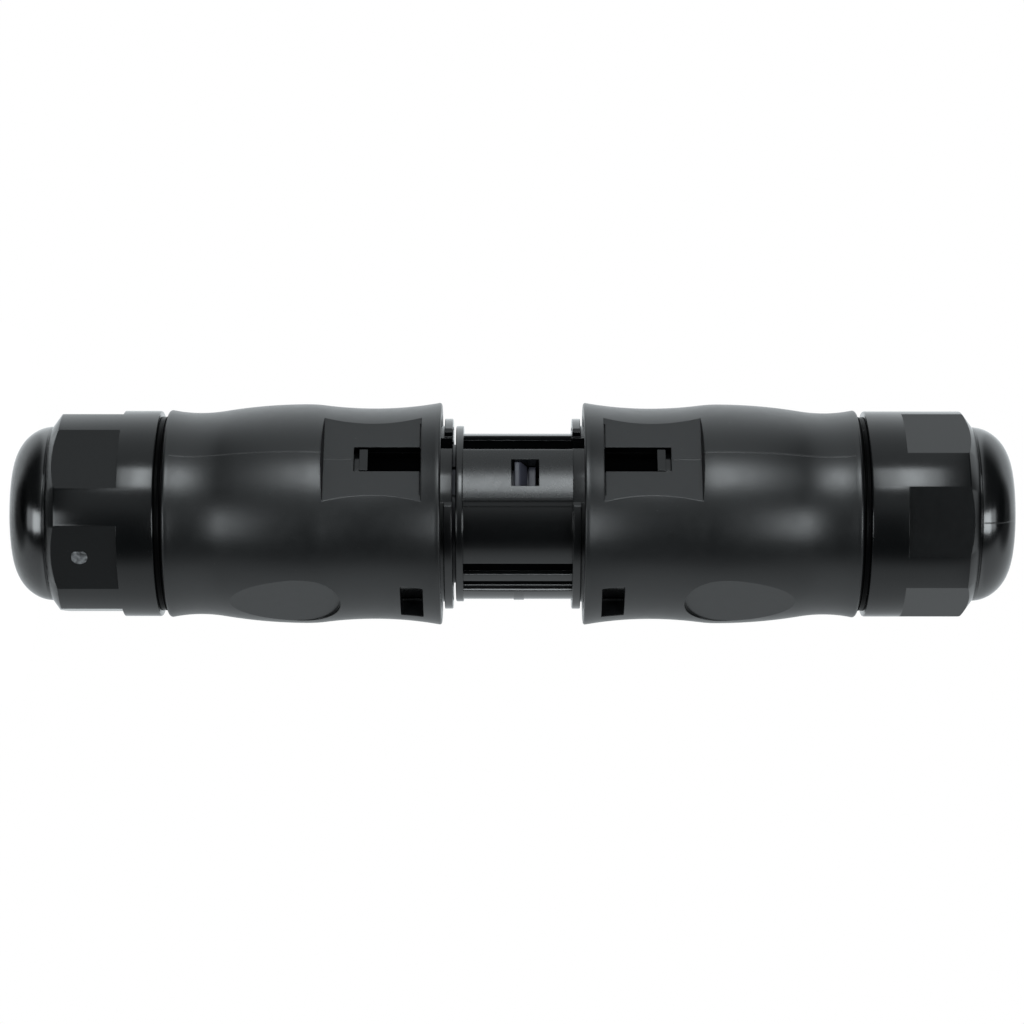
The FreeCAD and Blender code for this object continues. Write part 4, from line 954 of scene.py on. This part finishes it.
camera = bpy.data.objects.new("camera", bpy.data.cameras.new("camera"))
camera.data.lens = studio["lens"]
camera.data.sensor_width = 36
camera.data.clip_start = 0.01
roll = math.radians(studio["roll"])
eye = target + toCamera * studio["distance"] + imageUp * studio["raise"] - imageRight * studio["lower"]
rolledRight = imageRight * math.cos(roll) + imageUp * math.sin(roll)
camera.matrix_world = aimed(rolledRight, toCamera.cross(rolledRight), toCamera, eye)
bpy.context.scene.collection.objects.link(camera)
bpy.context.scene.camera = camera

for name, above, along, distance, sizeAlong, sizeAcross, watts in studio["lamps"]:
    lamp = bpy.data.lights.new(name, "AREA")
    lamp.shape = "RECTANGLE"
    lamp.size, lamp.size_y = sizeAlong, sizeAcross
    lamp.color = studio["cool"]
    lamp.energy = watts
    a, e = math.radians(along), math.radians(above)
    back = (toCamera * math.cos(e) + imageUp * math.sin(e)) * math.cos(a) - imageRight * math.sin(a)
    right = (imageRight + back * math.sin(a)).normalized()
    holder = bpy.data.objects.new(name, lamp)
    holder.matrix_world = aimed(right, back.cross(right), back, target + back * distance)
    bpy.context.scene.collection.objects.link(holder)


def paleStage():
    # white to the camera with a share of the shadow left, and not seen in reflections
    material, tree, shader, _ = newMaterial("paleStage")
    shader.inputs["Base Color"].default_value = (0.9, 0.9, 0.9, 1)
    shader.inputs["Roughness"].default_value = 0.8
    glow = addNode(tree, "ShaderNodeEmission", {"Strength": studio["stageGlow"]})
    rays = tree.nodes.new("ShaderNodeLightPath")
    shareInputs = {0: rays.outputs["Is Camera Ray"], 1: 1 - studio["shadow"]}
    share = addNode(tree, "ShaderNodeMath", shareInputs, operation="MULTIPLY")
    lit = addNode(tree, "ShaderNodeMixShader", {0: share.outputs[0], 1: shader.outputs[0], 2: glow.outputs[0]})
    through = tree.nodes.new("ShaderNodeBsdfTransparent")
    wholeInputs = {0: rays.outputs["Is Glossy Ray"], 1: lit.outputs[0], 2: through.outputs[0]}
    whole = addNode(tree, "ShaderNodeMixShader", wholeInputs)
    tree.links.new(whole.outputs[0], tree.nodes["Material Output"].inputs["Surface"])
    return material


paleMaterial = paleStage()
plinthSide = [(0.00001, -studio["floorDrop"]), (studio["plinth"], -studio["floorDrop"])]
plinthTop = [(studio["plinth"], -studio["plinthEdge"]), (studio["plinth"] - studio["plinthEdge"], 0), (0.00001, 0)]
plinth = turned(plinthSide + plinthTop, 96)
plinth.name = "plinth"
plinth.location.z = -studio["plinthGap"]
floorMesh = bmesh.new()
bmesh.ops.create_circle(floorMesh, cap_ends=True, segments=96, radius=studio["floor"])
floor = finished(floorMesh)
floor.name = "floor"
floor.location.z = -studio["floorDrop"]
for stand in (plinth, floor):
    stand.data.materials.clear()
    stand.data.materials.append(paleMaterial)

world = bpy.data.worlds.new("studioWorld")
bpy.context.scene.world = world
world.use_nodes = True
sky = world.node_tree
background = sky.nodes["Background"]
coords = sky.nodes.new("ShaderNodeTexCoord")
brightest = max(strength for _, strength in studio["sky"])


def shareOf(direction):
    # how much of a view ray runs in this direction
    inputs = {0: coords.outputs["Generated"], 1: direction}
    return addNode(sky, "ShaderNodeVectorMath", inputs, operation="DOT_PRODUCT").outputs["Value"]


def skyRamp(levels, around):
    ramp = addNode(sky, "ShaderNodeValToRGB", {"Fac": around})
    stops = ramp.color_ramp.elements
    while len(stops) < len(levels):
        stops.new(0.5)
    for stop, (angle, _) in zip(stops, levels):
        stop.position = (angle + 180) / 360
    for stop, (_, strength) in zip(stops, levels):  # only once all stand in their order
        stop.color = (strength / brightest,) * 3 + (1,)
    return ramp.outputs["Color"]


turnInputs = {0: shareOf(imageUp), 1: shareOf(toCamera)}
turnRound = addNode(sky, "ShaderNodeMath", turnInputs, operation="ARCTAN2").outputs[0]
around = ranged(sky, turnRound, 0, 1, -math.pi, math.pi)
apart = addNode(sky, "ShaderNodeMath", {0: shareOf(imageRight)}, operation="ABSOLUTE").outputs[0]
towardsEnds = ranged(sky, apart, 0, 1, *studio["ends"], interpolation_type="SMOOTHSTEP")
blend = mixed(sky, towardsEnds, skyRamp(studio["sky"], around), skyRamp(studio["endSky"], around))
dimmed = brightest, brightest * studio["poleLevel"]
polar = ranged(sky, apart, *dimmed, *studio["poles"], interpolation_type="SMOOTHSTEP")
lift = addNode(sky, "ShaderNodeMath", {0: blend, 1: polar}, operation="MULTIPLY").outputs[0]
seen = sky.nodes.new("ShaderNodeLightPath").outputs["Is Camera Ray"]  # the camera sees plain white
level = addNode(sky, "ShaderNodeMix", {"Factor": seen, "A": lift, "B": 1.0})
sky.links.new(level.outputs["Result"], background.inputs["Strength"])
sky.links.new(mixed(sky, seen, (*studio["cool"], 1), (1, 1, 1, 1)), background.inputs["Color"])
print("studio ready")
